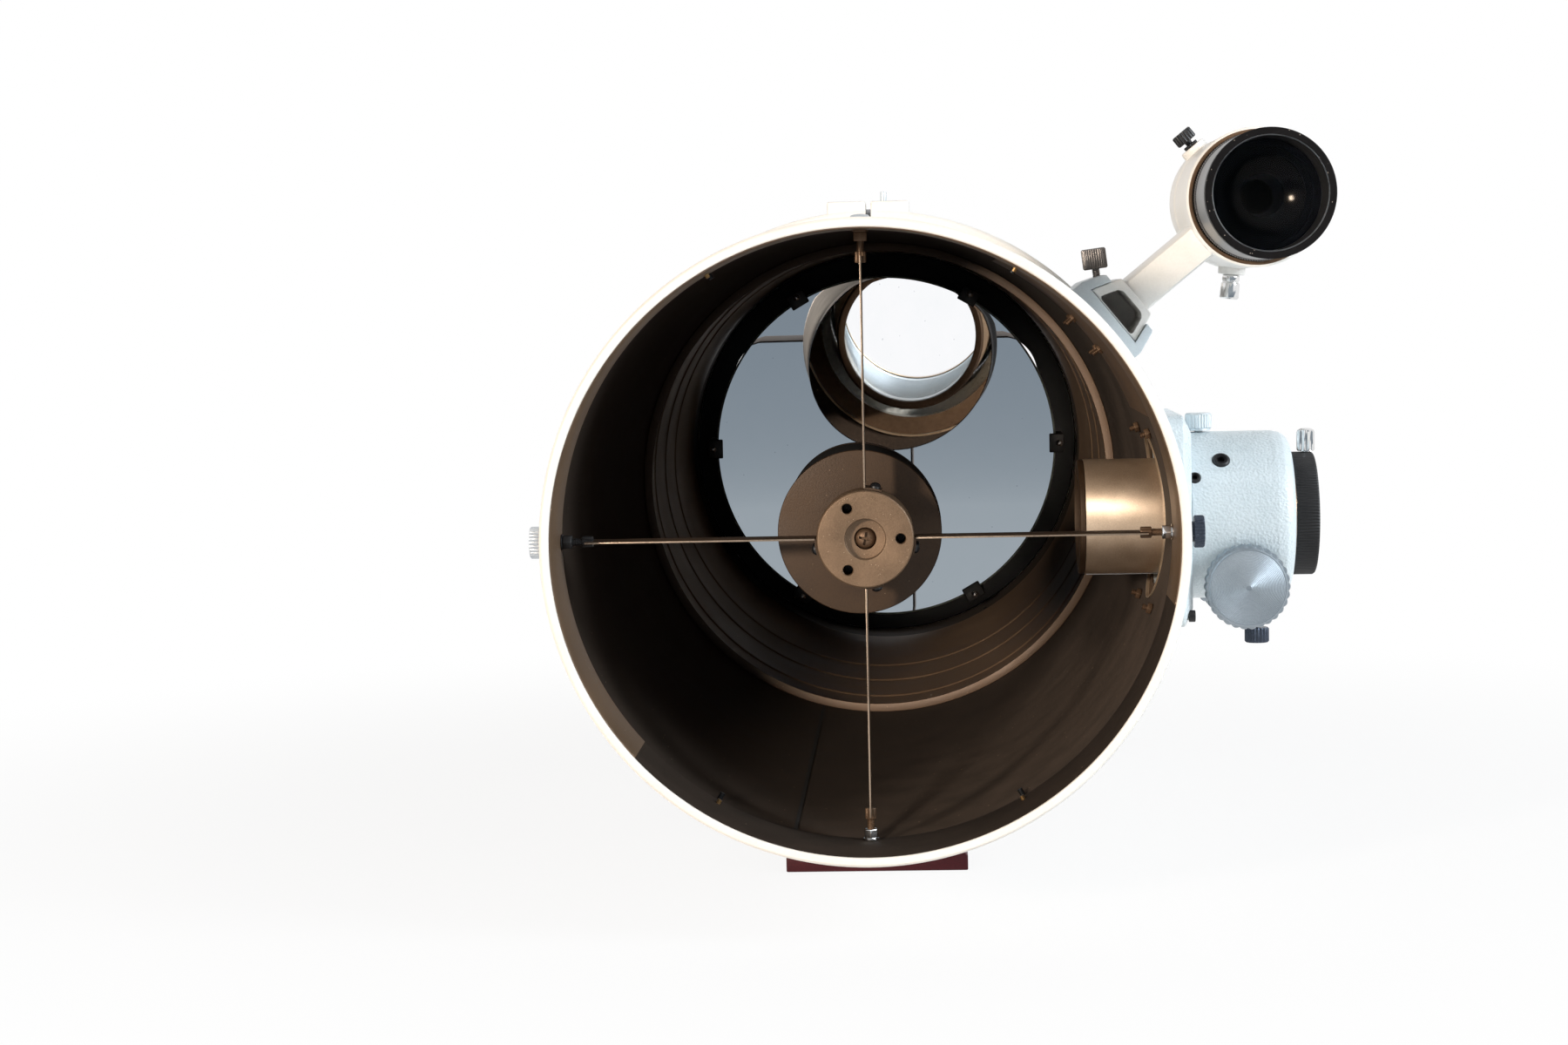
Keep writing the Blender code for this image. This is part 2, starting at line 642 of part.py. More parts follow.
def build_spider(bronze, black, metal, glass):
    """The hub on four tensioned vanes, and the turning holder of the secondary mirror."""
    hub_end = HUB_DEPTH + HUB_LENGTH
    floor = HUB_DEPTH + HUB_COUNTERBORE_DEPTH
    bore = CENTRE_BOLT_RADIUS + HOLE_CLEARANCE
    hub = piece(
        "spider_hub",
        turned([(bore, floor), (HUB_COUNTERBORE, floor), (HUB_COUNTERBORE, HUB_DEPTH),
                (HUB_RADIUS - HUB_BEVEL, HUB_DEPTH), (HUB_RADIUS, HUB_DEPTH + HUB_BEVEL),
                (HUB_RADIUS, hub_end),
                (bore, hub_end)], BARREL_FACETS),
        TUBE_FRAME, bronze,
    )
    spots = [tube_spot(HUB_HOLE_CIRCLE, angle) for angle in HUB_HOLE_ANGLES]
    holes = merged([(rod(HUB_HOLE_RADIUS, 0, HOLDER_FRONT), spot) for spot in spots])
    combine(hub, helper("hub_holes", holes), "DIFFERENCE")

    half = VANE_THICKNESS / 2
    slots = []
    for name, frame in spider_frames().items():
        flat = vane_bar(half, VANE_ROOT, STUD_START + STUD_OVERLAP, 0)
        strip = piece(f"spider_vane_{name}", flat, frame, bronze)
        top = SPIDER_NUT_TOP if name in SPIDER_NUT_VANES else SPIDER_KNOB_TOP
        stud = rod(STUD_RADIUS, STUD_START, top - SPIDER_KNOB_CAP - FIT)
        combine(strip, helper(f"stud_{name}", stud, frame), "UNION")
        slots.append((vane_bar(half + FIT, VANE_ROOT - FIT, HUB_RADIUS * 2, FIT), frame))
        piece(f"spider_knob_{name}", spider_knob(top), frame, metal, frame @ Vector((0, 0, SPIDER_KNOB_SEAT)))
    combine(hub, helper("vane_slots", merged(slots)), "DIFFERENCE")

    head = floor - FIT - CENTRE_BOLT_HEAD_LENGTH
    piece(
        "secondary_bolt",
        turned([(0, head), (CENTRE_BOLT_HEAD, head), (CENTRE_BOLT_HEAD, floor - FIT),
                (CENTRE_BOLT_RADIUS, floor - FIT),
                (CENTRE_BOLT_RADIUS, HOLDER_FRONT + CENTRE_BOLT_GRIP), (0, HOLDER_FRONT + CENTRE_BOLT_GRIP)],
               SMALL_FACETS),
        TUBE_FRAME, metal,
    )
    pivot = at(0, HOLDER_FRONT, 0)
    face = FOCUSER_DEPTH + SECONDARY_OFFSET
    back = face - SECONDARY_THICKNESS * sqrt(2)
    wedge = slanted(HOLDER_FRONT, back - FIT * sqrt(2), flat_front=True)
    holder = piece("secondary_holder", wedge, TUBE_FRAME, black, pivot)
    socket = rod(bore, 0, HOLDER_FRONT + CENTRE_BOLT_GRIP + HOLE_CLEARANCE)
    combine(holder, helper("holder_socket", socket, TUBE_FRAME), "DIFFERENCE")
    piece("secondary_mirror", slanted(back, face, flat_front=False), TUBE_FRAME, glass, pivot)


def vane_bar(half, start, end, spare):
    """A flat bar in a vane's place, wide along the tube, and open behind where it is a slot."""
    along = VANE_DEPTH / 2 + spare
    back = HUB_LENGTH if spare else along
    return block((-half, -along, start), (half, back, end))


def slanted(front, back, flat_front):
    """A round bar along the tube cut at 45 degrees towards the focuser, behind and, if asked, in front."""
    turns = [2 * pi * i / BARREL_FACETS for i in range(BARREL_FACETS)]
    rim = [(SECONDARY_RADIUS * cos(turn), SECONDARY_RADIUS * sin(turn)) for turn in turns]
    near = [(x - SECONDARY_OFFSET, y, front - (0 if flat_front else x)) for x, y in rim]
    far = [(x - SECONDARY_OFFSET, y, back - x) for x, y in rim]
    return lofted([near, far])


def fillet(radius, length, corner, steps=3):
    """The (radius, height) points of a rounded outer corner at the end of a turned piece."""
    turns = [pi / 2 * i / steps for i in range(steps + 1)]
    return [(radius - corner + corner * cos(turn), length - corner + corner * sin(turn)) for turn in turns]


def rounded_square(side, corner, steps=3):
    """The outline of a square with rounded corners."""
    reach = side / 2 - corner
    outline = []
    for quarter in range(4):
        start = quarter * pi / 2
        centre = (reach * sqrt(2) * cos(start + pi / 4), reach * sqrt(2) * sin(start + pi / 4))
        for i in range(steps + 1):
            turn = start + pi / 2 * i / steps
            outline.append((centre[0] + corner * cos(turn), centre[1] + corner * sin(turn)))
    return outline


def roller_spots():
    """Where the four rollers run on the drawtube: a pair at each end, either side of the top."""
    spots = {}
    for end, shift in (("inner", -ROLLER_SPACING / 2), ("outer", ROLLER_SPACING / 2)):
        for side, angle in (("front", -ROLLER_ANGLE), ("rear", ROLLER_ANGLE)):
            outwards = Vector((0, sin(radians(angle)), cos(radians(angle))))
            axle = Vector((0, -cos(radians(angle)), sin(radians(angle))))
            reach = DRAWTUBE_RADIUS + FIT + ROLLER_RADIUS
            centre = at(SHAFT_X + shift, FOCUSER_DEPTH, 0) + outwards * reach
            turn = Matrix((Vector((1, 0, 0)), outwards, axle)).transposed().to_4x4()
            spots[f"roller_{end}_{side}"] = Matrix.Translation(centre) @ turn
    return spots


def focus_knob():
    """A scalloped knob with a shallow cone on its face, from its back at 0 along local Z."""
    count = FOCUS_KNOB_LOBES * 2
    turns = [2 * pi * i / count for i in range(count)]
    rim = [FOCUS_KNOB_RADIUS - FOCUS_KNOB_SCALLOP * (i % 2) for i in range(count)]

    def ring(radii, height):
        return [(radius * cos(turn), radius * sin(turn), height) for radius, turn in zip(radii, turns)]

    shoulder = FOCUS_KNOB_LENGTH - (FOCUS_KNOB_RADIUS - FOCUS_KNOB_FACE)
    tip = FOCUS_KNOB_LENGTH + FOCUS_KNOB_CONE
    return lofted([ring(rim, 0), ring(rim, shoulder), ring([FOCUS_KNOB_FACE] * count, FOCUS_KNOB_LENGTH),
                   ring([FOCUS_KNOB_TIP] * count, tip)])


def build_focuser(paint, bronze, black, chrome, silver):
    """A friction-drive focuser: the drawtube runs on four rollers above and a drive shaft below."""
    tube_cut = rod(TUBE_OUTER + FIT, FOCUSER_DEPTH - BASE_SIDE, FOCUSER_DEPTH + BASE_SIDE, TUBE_FACETS)
    wide = rounded_square(BASE_SIDE, BASE_CORNER)
    narrow = rounded_square(BASE_SIDE - 2 * BASE_SLOPE, BASE_CORNER)
    levels = [(wide, TUBE_OUTER - BASE_SKIRT), (wide, BASE_TOP - BASE_CHAMFER), (narrow, BASE_TOP)]
    plate = lofted([[(x, y, height) for x, y in outline] for outline, height in levels])
    base = piece("focuser_base", plate, FOCUSER_FRAME, paint)
    combine(base, helper("tube_saddle", tube_cut, TUBE_FRAME), "DIFFERENCE")
    throat = rod(DRAWTUBE_RADIUS + PORT_GAP, 0, BODY_END, BARREL_FACETS)
    combine(base, helper("base_throat", throat, FOCUSER_FRAME), "DIFFERENCE")

    body = piece(
        "focuser_body",
        turned([(BODY_BORE, BODY_START), (BODY_RADIUS, BODY_START)]
               + fillet(BODY_RADIUS, BODY_END, BODY_SHOULDER)
               + [(BODY_BORE, BODY_END)], BARREL_FACETS),
        FOCUSER_FRAME, paint,
    )
    shaft_middle = at(SHAFT_X, FOCUSER_DEPTH, -SHAFT_DROP)
    shaft_frame = Matrix.Translation(shaft_middle) @ Matrix.Rotation(-pi / 2, 4, "X")
    shaft_hole = rod(SHAFT_RADIUS + HOLE_CLEARANCE, -BODY_RADIUS * 2, BODY_RADIUS * 2)
    combine(body, helper("shaft_hole", shaft_hole, shaft_frame), "DIFFERENCE")
    pockets = []
    for name, spot in roller_spots().items():
        roller = rod(ROLLER_RADIUS, -ROLLER_WIDTH / 2, ROLLER_WIDTH / 2, SMALL_FACETS)
        piece(f"focuser_{name}", roller, spot, chrome, spot.translation)
        room = ROLLER_RADIUS + POCKET_GAP
        wide = ROLLER_WIDTH / 2 + FIT
        pockets.append((block((-room, -room, -wide), (room, room, wide)), spot))
    combine(body, helper("roller_pockets", merged(pockets)), "DIFFERENCE")

    seat = SHAFT_DROP + SHAFT_RADIUS / 2
    half, wide = BLOCK_LENGTH / 2, BLOCK_WIDTH / 2
    slot = block((-half - FIT, -wide - FIT, -BODY_RADIUS * 2), (half + FIT, wide + FIT, -seat + FIT))
    middle = Matrix.Translation(at(SHAFT_X, FOCUSER_DEPTH, 0))
    combine(body, helper("block_slot", slot, middle), "DIFFERENCE")
    shoe = piece("pressure_block", block((-half, -wide, -BLOCK_BOTTOM), (half, wide, -seat)), middle, silver)
    groove = rod(SHAFT_RADIUS + FIT, -BLOCK_WIDTH, BLOCK_WIDTH)
    combine(shoe, helper("block_groove", groove, shaft_frame), "DIFFERENCE")

    front_face = KNOB_BACK + FOCUS_KNOB_SKIN
    shaft = rod(SHAFT_RADIUS, -front_face, front_face)
    piece("focus_shaft", shaft, shaft_frame, chrome, shaft_frame.translation)
    for name, turn in (("front", pi), ("rear", 0)):
        frame = shaft_frame @ Matrix.Rotation(turn, 4, "X") @ Matrix.Translation((0, 0, KNOB_BACK))
        knob = piece(f"focus_knob_{name}", focus_knob(), frame, silver, shaft_frame.translation)
        bored = rod(SHAFT_RADIUS + FIT, -FOCUS_KNOB_LENGTH, FOCUS_KNOB_SKIN + FIT)
        combine(knob, helper(f"knob_bore_{name}", bored, frame), "DIFFERENCE")

    down = Vector((0, 0, -1))
    tension_x = SHAFT_X + TENSION_OFFSET
    tip = BLOCK_BOTTOM - BLOCK_DROP / 2
    tension_frame = aim(at(tension_x, FOCUSER_DEPTH, -tip), down)
    tension = thumbscrew(SCREW_SHANK, TENSION_HEAD, TENSION_NECK, TENSION_HEAD_LENGTH, BLOCK_DROP / 2)
    piece("tension_screw", tension, tension_frame, black, tension_frame.translation)
    tapped = rod(SCREW_SHANK + RUN, -HOLE_CLEARANCE, BLOCK_DROP)
    combine(shoe, helper("tension_hole", tapped, tension_frame), "DIFFERENCE")

    up = Vector((0, 0, 1))
    lock_frame = aim(at(BODY_START + LOCK_OFFSET, FOCUSER_DEPTH, DRAWTUBE_RADIUS + FIT), up)
    reach = BODY_RADIUS + FIT - DRAWTUBE_RADIUS - FIT
    lock = thumbscrew(SCREW_SHANK, LOCK_HEAD, FIT, LOCK_HEAD_LENGTH, reach)
    piece("drawtube_lock_screw", lock, lock_frame, silver, lock_frame.translation)
    combine(body, helper("lock_hole", rod(SCREW_SHANK + RUN, 0, BODY_RADIUS), lock_frame), "DIFFERENCE")

    piece(
        "drawtube",
        turned([(DRAWTUBE_BORE, DRAWTUBE_START), (DRAWTUBE_RADIUS, DRAWTUBE_START),
                (DRAWTUBE_RADIUS, DRAWTUBE_END),
                (DRAWTUBE_BORE, DRAWTUBE_END)], BARREL_FACETS),
        FOCUSER_FRAME, bronze, FOCUSER_FRAME.translation,
    )
    lip_start = RING_END - RING_LIP
    ring = piece(
        "eyepiece_clamp_ring",
        turned(
            [(DRAWTUBE_RADIUS + FIT, RING_START), (RING_RADIUS - RING_BEVEL, RING_START),
             (RING_RADIUS, RING_START + RING_BEVEL), (RING_RADIUS, RING_END - RING_BEVEL),
             (RING_RADIUS - RING_BEVEL, RING_END), (DRAWTUBE_BORE, RING_END), (DRAWTUBE_BORE, lip_start),
             (DRAWTUBE_RADIUS + FIT, lip_start)],
            BARREL_FACETS,
        ),
        FOCUSER_FRAME, black, FOCUSER_FRAME.translation,
    )
    clamp_frame = aim(at(RING_END - RING_LIP / 2, FOCUSER_DEPTH, DRAWTUBE_BORE + FIT), up)
    reach = RING_RADIUS - DRAWTUBE_BORE
    clamp = thumbscrew(SCREW_SHANK, CLAMP_HEAD, FIT, CLAMP_HEAD_LENGTH, reach)
    piece("eyepiece_clamp_screw", clamp, clamp_frame, chrome, clamp_frame.translation)
    tapped = rod(SCREW_SHANK + FIT, -RING_LIP, RING_RADIUS)
    combine(ring, helper("clamp_hole", tapped, clamp_frame), "DIFFERENCE")


def shoe_outline():
    """The shoe in section: a base on the tube and two walls that lean in over the channel."""
    half, channel = SHOE_WIDTH / 2, CHANNEL_WIDTH / 2
    rim = SHOE_TOP + CHANNEL_DEPTH
    mouth = channel - CHANNEL_LEAN
    right = [(half, TUBE_OUTER - SHOE_FLOOR), (half, SHOE_TOP), (half - SHOE_SIDE_LEAN, rim - SHOE_SIDE_LEAN),
             (mouth + SHOE_WALL_TOP, rim), (mouth, rim), (channel, SHOE_TOP)]
    return right + [(-x, y) for x, y in reversed(right)]


def foot_outline(inset):
    """The bracket's foot in section, a dovetail that fits the channel, or its hollow when inset."""
    low = SHOE_TOP + FIT
    high = low + FOOT_HEIGHT
    lean = CHANNEL_LEAN / CHANNEL_DEPTH
    bottom = CHANNEL_WIDTH / 2 - RUN - inset
    neck = CHANNEL_WIDTH / 2 - CHANNEL_LEAN - RUN - inset
    top = min(FOOT_TOP_WIDTH / 2 - inset, neck)
    step = low + CHANNEL_DEPTH
    side = [(bottom - lean * inset, low + inset), (neck, step), (top, high - inset)]
    return side + [(-x, y) for x, y in reversed(side)]


def build_finder_mount(paint, silver):
    """The shoe on the tube, and the bracket that slides into it and carries the finder."""
    length = (-SHOE_START, -SHOE_START - SHOE_LENGTH)
    shoe = piece("finder_shoe", extruded(shoe_outline(), *length), SHOE_FRAME, paint)
    saddle = rod(TUBE_OUTER + FIT, 0, TUBE_END, TUBE_FACETS)
    combine(shoe, helper("shoe_saddle", saddle, TUBE_FRAME), "DIFFERENCE")

    middle = SHOE_START + SHOE_LENGTH / 2
    side = CHANNEL_WIDTH / 2 - CHANNEL_LEAN / 2
    outwards = round_the_tube(FINDER_ANGLE + 90 - SHOE_SCREW_LEAN)
    contact = SHOE_FRAME @ Vector((-side, SHOE_TOP + CHANNEL_DEPTH / 2, -middle)) + outwards * RUN
    screw_frame = aim(contact, outwards)
    reach = SHOE_WIDTH / 2 - side
    screw = thumbscrew(SCREW_SHANK, SHOE_SCREW_HEAD, SHOE_SCREW_NECK, SHOE_SCREW_HEAD_LENGTH, reach)
    piece("shoe_thumbscrew", screw, screw_frame, silver, contact)
    tapped = rod(SCREW_SHANK + RUN, -CHANNEL_WIDTH / 2, SHOE_WIDTH)
    combine(shoe, helper("shoe_screw_hole", tapped, screw_frame), "DIFFERENCE")

    start = -(middle - FOOT_LENGTH / 2)
    foot = extruded(foot_outline(0), start, start - FOOT_LENGTH)
    bracket = piece("finder_bracket", foot, SHOE_FRAME, paint, FINDER_FRAME.translation)
    stalk_low = SHOE_TOP + FOOT_HEIGHT / 2
    stalk = block((-STALK_WIDTH / 2, stalk_low, -middle - STALK_LENGTH / 2),
                  (STALK_WIDTH / 2, FINDER_RADIUS, -middle + STALK_LENGTH / 2))
    combine(bracket, helper("bracket_stalk", stalk, SHOE_FRAME), "UNION")
    barrel = rod(BRACKET_OUTER, BRACKET_FRONT, BRACKET_BACK, BARREL_FACETS)
    combine(bracket, helper("bracket_barrel", barrel, FINDER_FRAME), "UNION")
    angles = list(ADJUSTER_ANGLES.values()) + [PLUNGER_ANGLE]
    frames = [aim(at(FINDER_X, ADJUSTER_DEPTH, FINDER_Z), round_the_tube(angle)) for angle in angles]
    bosses = merged([(rod(BOSS_RADIUS, BRACKET_INNER - BRACKET_WALL, BOSS_TOP), frame) for frame in frames])
    combine(bracket, helper("bracket_bosses", bosses), "UNION")
    radii = [SCREW_SHANK + RUN] * len(ADJUSTER_ANGLES) + [PLUNGER_NECK_RADIUS + FIT]
    holes = [(rod(radius, BRACKET_INNER / 2, BOSS_TOP * 2), frame) for radius, frame in zip(radii, frames)]
    combine(bracket, helper("adjuster_holes", merged(holes)), "DIFFERENCE")
    hollow = extruded(foot_outline(FOOT_WALL), start + FOOT_WALL, start - FOOT_LENGTH - FOOT_WALL)
    combine(bracket, helper("foot_hollow", hollow, SHOE_FRAME), "DIFFERENCE")
    bored = rod(BRACKET_INNER, BRACKET_FRONT - BRACKET_WALL, BRACKET_BACK + BRACKET_WALL, BARREL_FACETS)
    combine(bracket, helper("bracket_bore", bored, FINDER_FRAME), "DIFFERENCE")


def build_finder(paint, black, chrome, glass, rubber):
    """The finder scope: a focusing objective cell, its lock ring, the tube and the eyepiece."""
    pivot = at(FINDER_X, ORING_DEPTH, FINDER_Z)
    inner = FINDER_CELL_RADIUS - FINDER_CELL_WALL
    seat = FINDER_FRONT + FINDER_SEAT_DEPTH
    nose = FINDER_TUBE_RADIUS - FINDER_NOSE_STEP
    ledge = inner - FINDER_SEAT_HEIGHT
    piece(
        "finder_objective_cell",
        turned([(inner, FINDER_FRONT), (FINDER_CELL_RADIUS, FINDER_FRONT),
                (FINDER_CELL_RADIUS, FINDER_CELL_END),
                (nose + RUN, FINDER_CELL_END), (nose + RUN, seat),
                (ledge, seat), (ledge, seat - FINDER_SEAT_HEIGHT),
                (inner, seat - FINDER_SEAT_HEIGHT)], BARREL_FACETS),
        FINDER_FRAME, black, pivot,
    )
    lens_radius = nose + RUN - FIT
    low = seat + FIT + LENS_BULGE
    high = low + LENS_THICKNESS - 2 * LENS_BULGE
    ring = lens_radius / 2
    dome = LENS_BULGE * 3 / 4
    piece(
        "finder_objective_lens",
        turned([(0, low - LENS_BULGE + FIT), (ring, low - dome + FIT),
                (lens_radius, low), (lens_radius, high),
                (ring, high + dome), (0, high + LENS_BULGE)], BARREL_FACETS),
        FINDER_FRAME, glass, pivot,
    )
    piece(
        "finder_lock_ring",
        turned([(nose + RUN, LOCK_RING_START), (FINDER_CELL_RADIUS + LOCK_RING_STEP, LOCK_RING_START),
                (FINDER_CELL_RADIUS + LOCK_RING_STEP, LOCK_RING_END),
                (nose + RUN, LOCK_RING_END)], BARREL_FACETS),
        FINDER_FRAME, black, pivot,
    )
    shoulder = LOCK_RING_END + RUN
    waist = ADJUSTER_DEPTH - 2 * FINDER_TAPER_LENGTH
    tail = ADJUSTER_DEPTH + FINDER_TAPER_LENGTH
    outside = [(nose, FINDER_TUBE_FRONT), (nose, shoulder), (FINDER_TUBE_RADIUS, shoulder),
               (FINDER_TUBE_RADIUS, waist), (FINDER_WAIST_RADIUS, waist + FINDER_TAPER_LENGTH),
               (FINDER_WAIST_RADIUS, tail), (FINDER_TAIL_RADIUS, tail + FINDER_TAPER_LENGTH),
               (FINDER_TAIL_RADIUS, FINDER_TUBE_END)]
    wall = FINDER_TUBE_WALL
    inside = [(FINDER_TAIL_RADIUS - wall, FINDER_TUBE_END),
              (FINDER_TAIL_RADIUS - wall, tail + FINDER_TAPER_LENGTH - wall),
              (FINDER_WAIST_RADIUS - wall, tail - wall),
              (FINDER_WAIST_RADIUS - wall, waist + FINDER_TAPER_LENGTH - wall),
              (nose - wall, waist - wall), (nose - wall, FINDER_TUBE_FRONT)]
    piece("finder_tube", turned(outside + inside, BARREL_FACETS), FINDER_FRAME, paint, pivot)
    cup = FINDER_TUBE_END + FIT + EYEPIECE_LENGTH
    piece(
        "finder_eyepiece",
        turned([(EYEPIECE_BORE, FINDER_TUBE_END + FIT), (EYEPIECE_RADIUS, FINDER_TUBE_END + FIT),
                (EYEPIECE_RADIUS, cup - EYECUP_LENGTH), (EYECUP_RADIUS, cup), (EYECUP_RADIUS - wall, cup),
                (EYEPIECE_BORE, cup - EYECUP_LENGTH)], BARREL_FACETS),
        FINDER_FRAME, black, pivot,
    )
    groove = FINDER_TUBE_RADIUS + FIT
    thick = BRACKET_INNER - FIT - groove
    middle = groove + thick / 2
    turns = [2 * pi * i / ORING_FACETS for i in range(ORING_FACETS)]
    section = [(middle + thick / 2 * cos(turn), ORING_DEPTH + thick / 2 * sin(turn)) for turn in turns]
    piece("finder_o_ring", turned(section, BARREL_FACETS), FINDER_FRAME, rubber, pivot)

    tip = FINDER_WAIST_RADIUS + FIT
    for name, angle in ADJUSTER_ANGLES.items():
        outwards = round_the_tube(angle)
        frame = aim(at(FINDER_X, ADJUSTER_DEPTH, FINDER_Z) + outwards * tip, outwards)
        screw = thumbscrew(SCREW_SHANK, ADJUSTER_HEAD, ADJUSTER_NECK, ADJUSTER_HEAD_LENGTH, BOSS_TOP - tip)
        piece(name, screw, frame, black, frame.translation)
    outwards = round_the_tube(PLUNGER_ANGLE)
    frame = aim(at(FINDER_X, ADJUSTER_DEPTH, FINDER_Z) + outwards * tip, outwards)
    neck, step = BRACKET_INNER + FIT - tip, BOSS_TOP + FIT - tip
    end = step + PLUNGER_LENGTH
    bored = SCREW_SHANK + RUN
    piece(
        "plunger_barrel",
        turned([(bored, neck), (PLUNGER_NECK_RADIUS, neck),
                (PLUNGER_NECK_RADIUS, step), (PLUNGER_RADIUS, step),
                (PLUNGER_RADIUS, end), (0, end), (0, end - PLUNGER_CAP),
                (bored, end - PLUNGER_CAP)], SMALL_FACETS),
        frame, chrome,
    )
    pin = rod(SCREW_SHANK, 0, end - PLUNGER_CAP - PLUNGER_STROKE)
    piece("plunger_pin", pin, frame, chrome, frame.translation)


def arc_frame(depth, angle):
    """A frame on the tube's axis whose turned profile starts at an angle and runs on round the tube."""
    across = Matrix.Translation(at(0, depth, 0)) @ Matrix.Rotation(pi / 2, 4, "X")
    return across @ Matrix.Rotation(radians(angle), 4, "Z")


def build_tube_ring(name, depth, paint, steel):
    """A hinged ring: a cradle on its foot, a jaw that swings open, and the bolt through their ears."""
    wide = CRADLE_WIDTH / 2
    bevel = CRADLE_BEVEL
    section = [(CRADLE_INNER, -wide), (CRADLE_OUTER - bevel, -wide), (CRADLE_OUTER, -wide + bevel),
               (CRADLE_OUTER, wide - bevel), (CRADLE_OUTER - bevel, wide), (CRADLE_INNER, wide)]
    step = 360 / TUBE_FACETS
    split = degrees(EAR_GAP / 2 / CRADLE_INNER)
    hinge_at = CRADLE_OUTER + HINGE_STANDOFF
    hinge = at(hinge_at * cos(radians(HINGE_ANGLE)), depth, hinge_at * sin(radians(HINGE_ANGLE)))
    part = degrees(HINGE_RADIUS / CRADLE_OUTER) / 4
    jaw_turn = HINGE_ANGLE - part - 90 - split
    cradle_turn = 360 - (HINGE_ANGLE + part - 90) - split
    ring = arc_frame(depth, 0)
    jaw = piece(f"{name}_clamp_jaw", turned(section, round(jaw_turn / step), radians(jaw_turn)),
                arc_frame(depth, 90 + split), paint, hinge)
    cradle = piece(f"{name}_clamp_cradle", turned(section, round(cradle_turn / step), radians(cradle_turn)),
                   arc_frame(depth, HINGE_ANGLE + part), paint)

    ear_top = CRADLE_OUTER + EAR_RISE
    ear_low = CRADLE_INNER + CRADLE_WALL / 4
    inner, outer = EAR_GAP / 2, EAR_HALF_WIDTH
    slim = wide - bevel
    left = block((-outer, ear_low, -slim), (-inner, ear_top, slim))
    right = block((inner, ear_low, -slim), (outer, ear_top, slim))
    combine(jaw, helper(f"{name}_jaw_ear", left, ring), "UNION")
    combine(cradle, helper(f"{name}_cradle_ear", right, ring), "UNION")
    pad = FOOT_PAD_WIDTH / 2
    foot = block((-pad, -PAD_BOTTOM, -slim), (pad, -CRADLE_INNER - CRADLE_WALL / 4, slim))
    combine(cradle, helper(f"{name}_foot", foot, ring), "UNION")

    build_hinge(name, jaw, cradle, hinge)

    height = ear_top - CLAMP_BOLT_DROP
    bolt_frame = Matrix.Translation(at(-outer, depth, height)) @ Matrix.Rotation(pi / 2, 4, "Y")
    head, grip = CLAMP_BOLT_HEAD_LENGTH, 2 * outer - CLAMP_BOLT_HEAD
    bolt = turned([(0, 0), (CLAMP_BOLT_HEAD, 0), (CLAMP_BOLT_HEAD, head), (CLAMP_BOLT_RADIUS, head),
                   (CLAMP_BOLT_RADIUS, grip), (0, grip)], SMALL_FACETS)
    piece(f"{name}_clamp_bolt", bolt, bolt_frame, steel, bolt_frame.translation)
    shank = CLAMP_BOLT_RADIUS + HOLE_CLEARANCE
    sunk = CLAMP_BOLT_HEAD + HOLE_CLEARANCE
    seat = turned([(0, -outer), (sunk, -outer), (sunk, head + FIT),
                   (shank, head + FIT), (shank, outer + inner),
                   (0, outer + inner)], SMALL_FACETS)
    combine(jaw, helper(f"{name}_bolt_seat", seat, bolt_frame), "DIFFERENCE")
    open_slot = block((0, height - shank, -shank), (outer * 2, ear_top * 2, shank))
    combine(cradle, helper(f"{name}_bolt_slot", open_slot, ring), "DIFFERENCE")


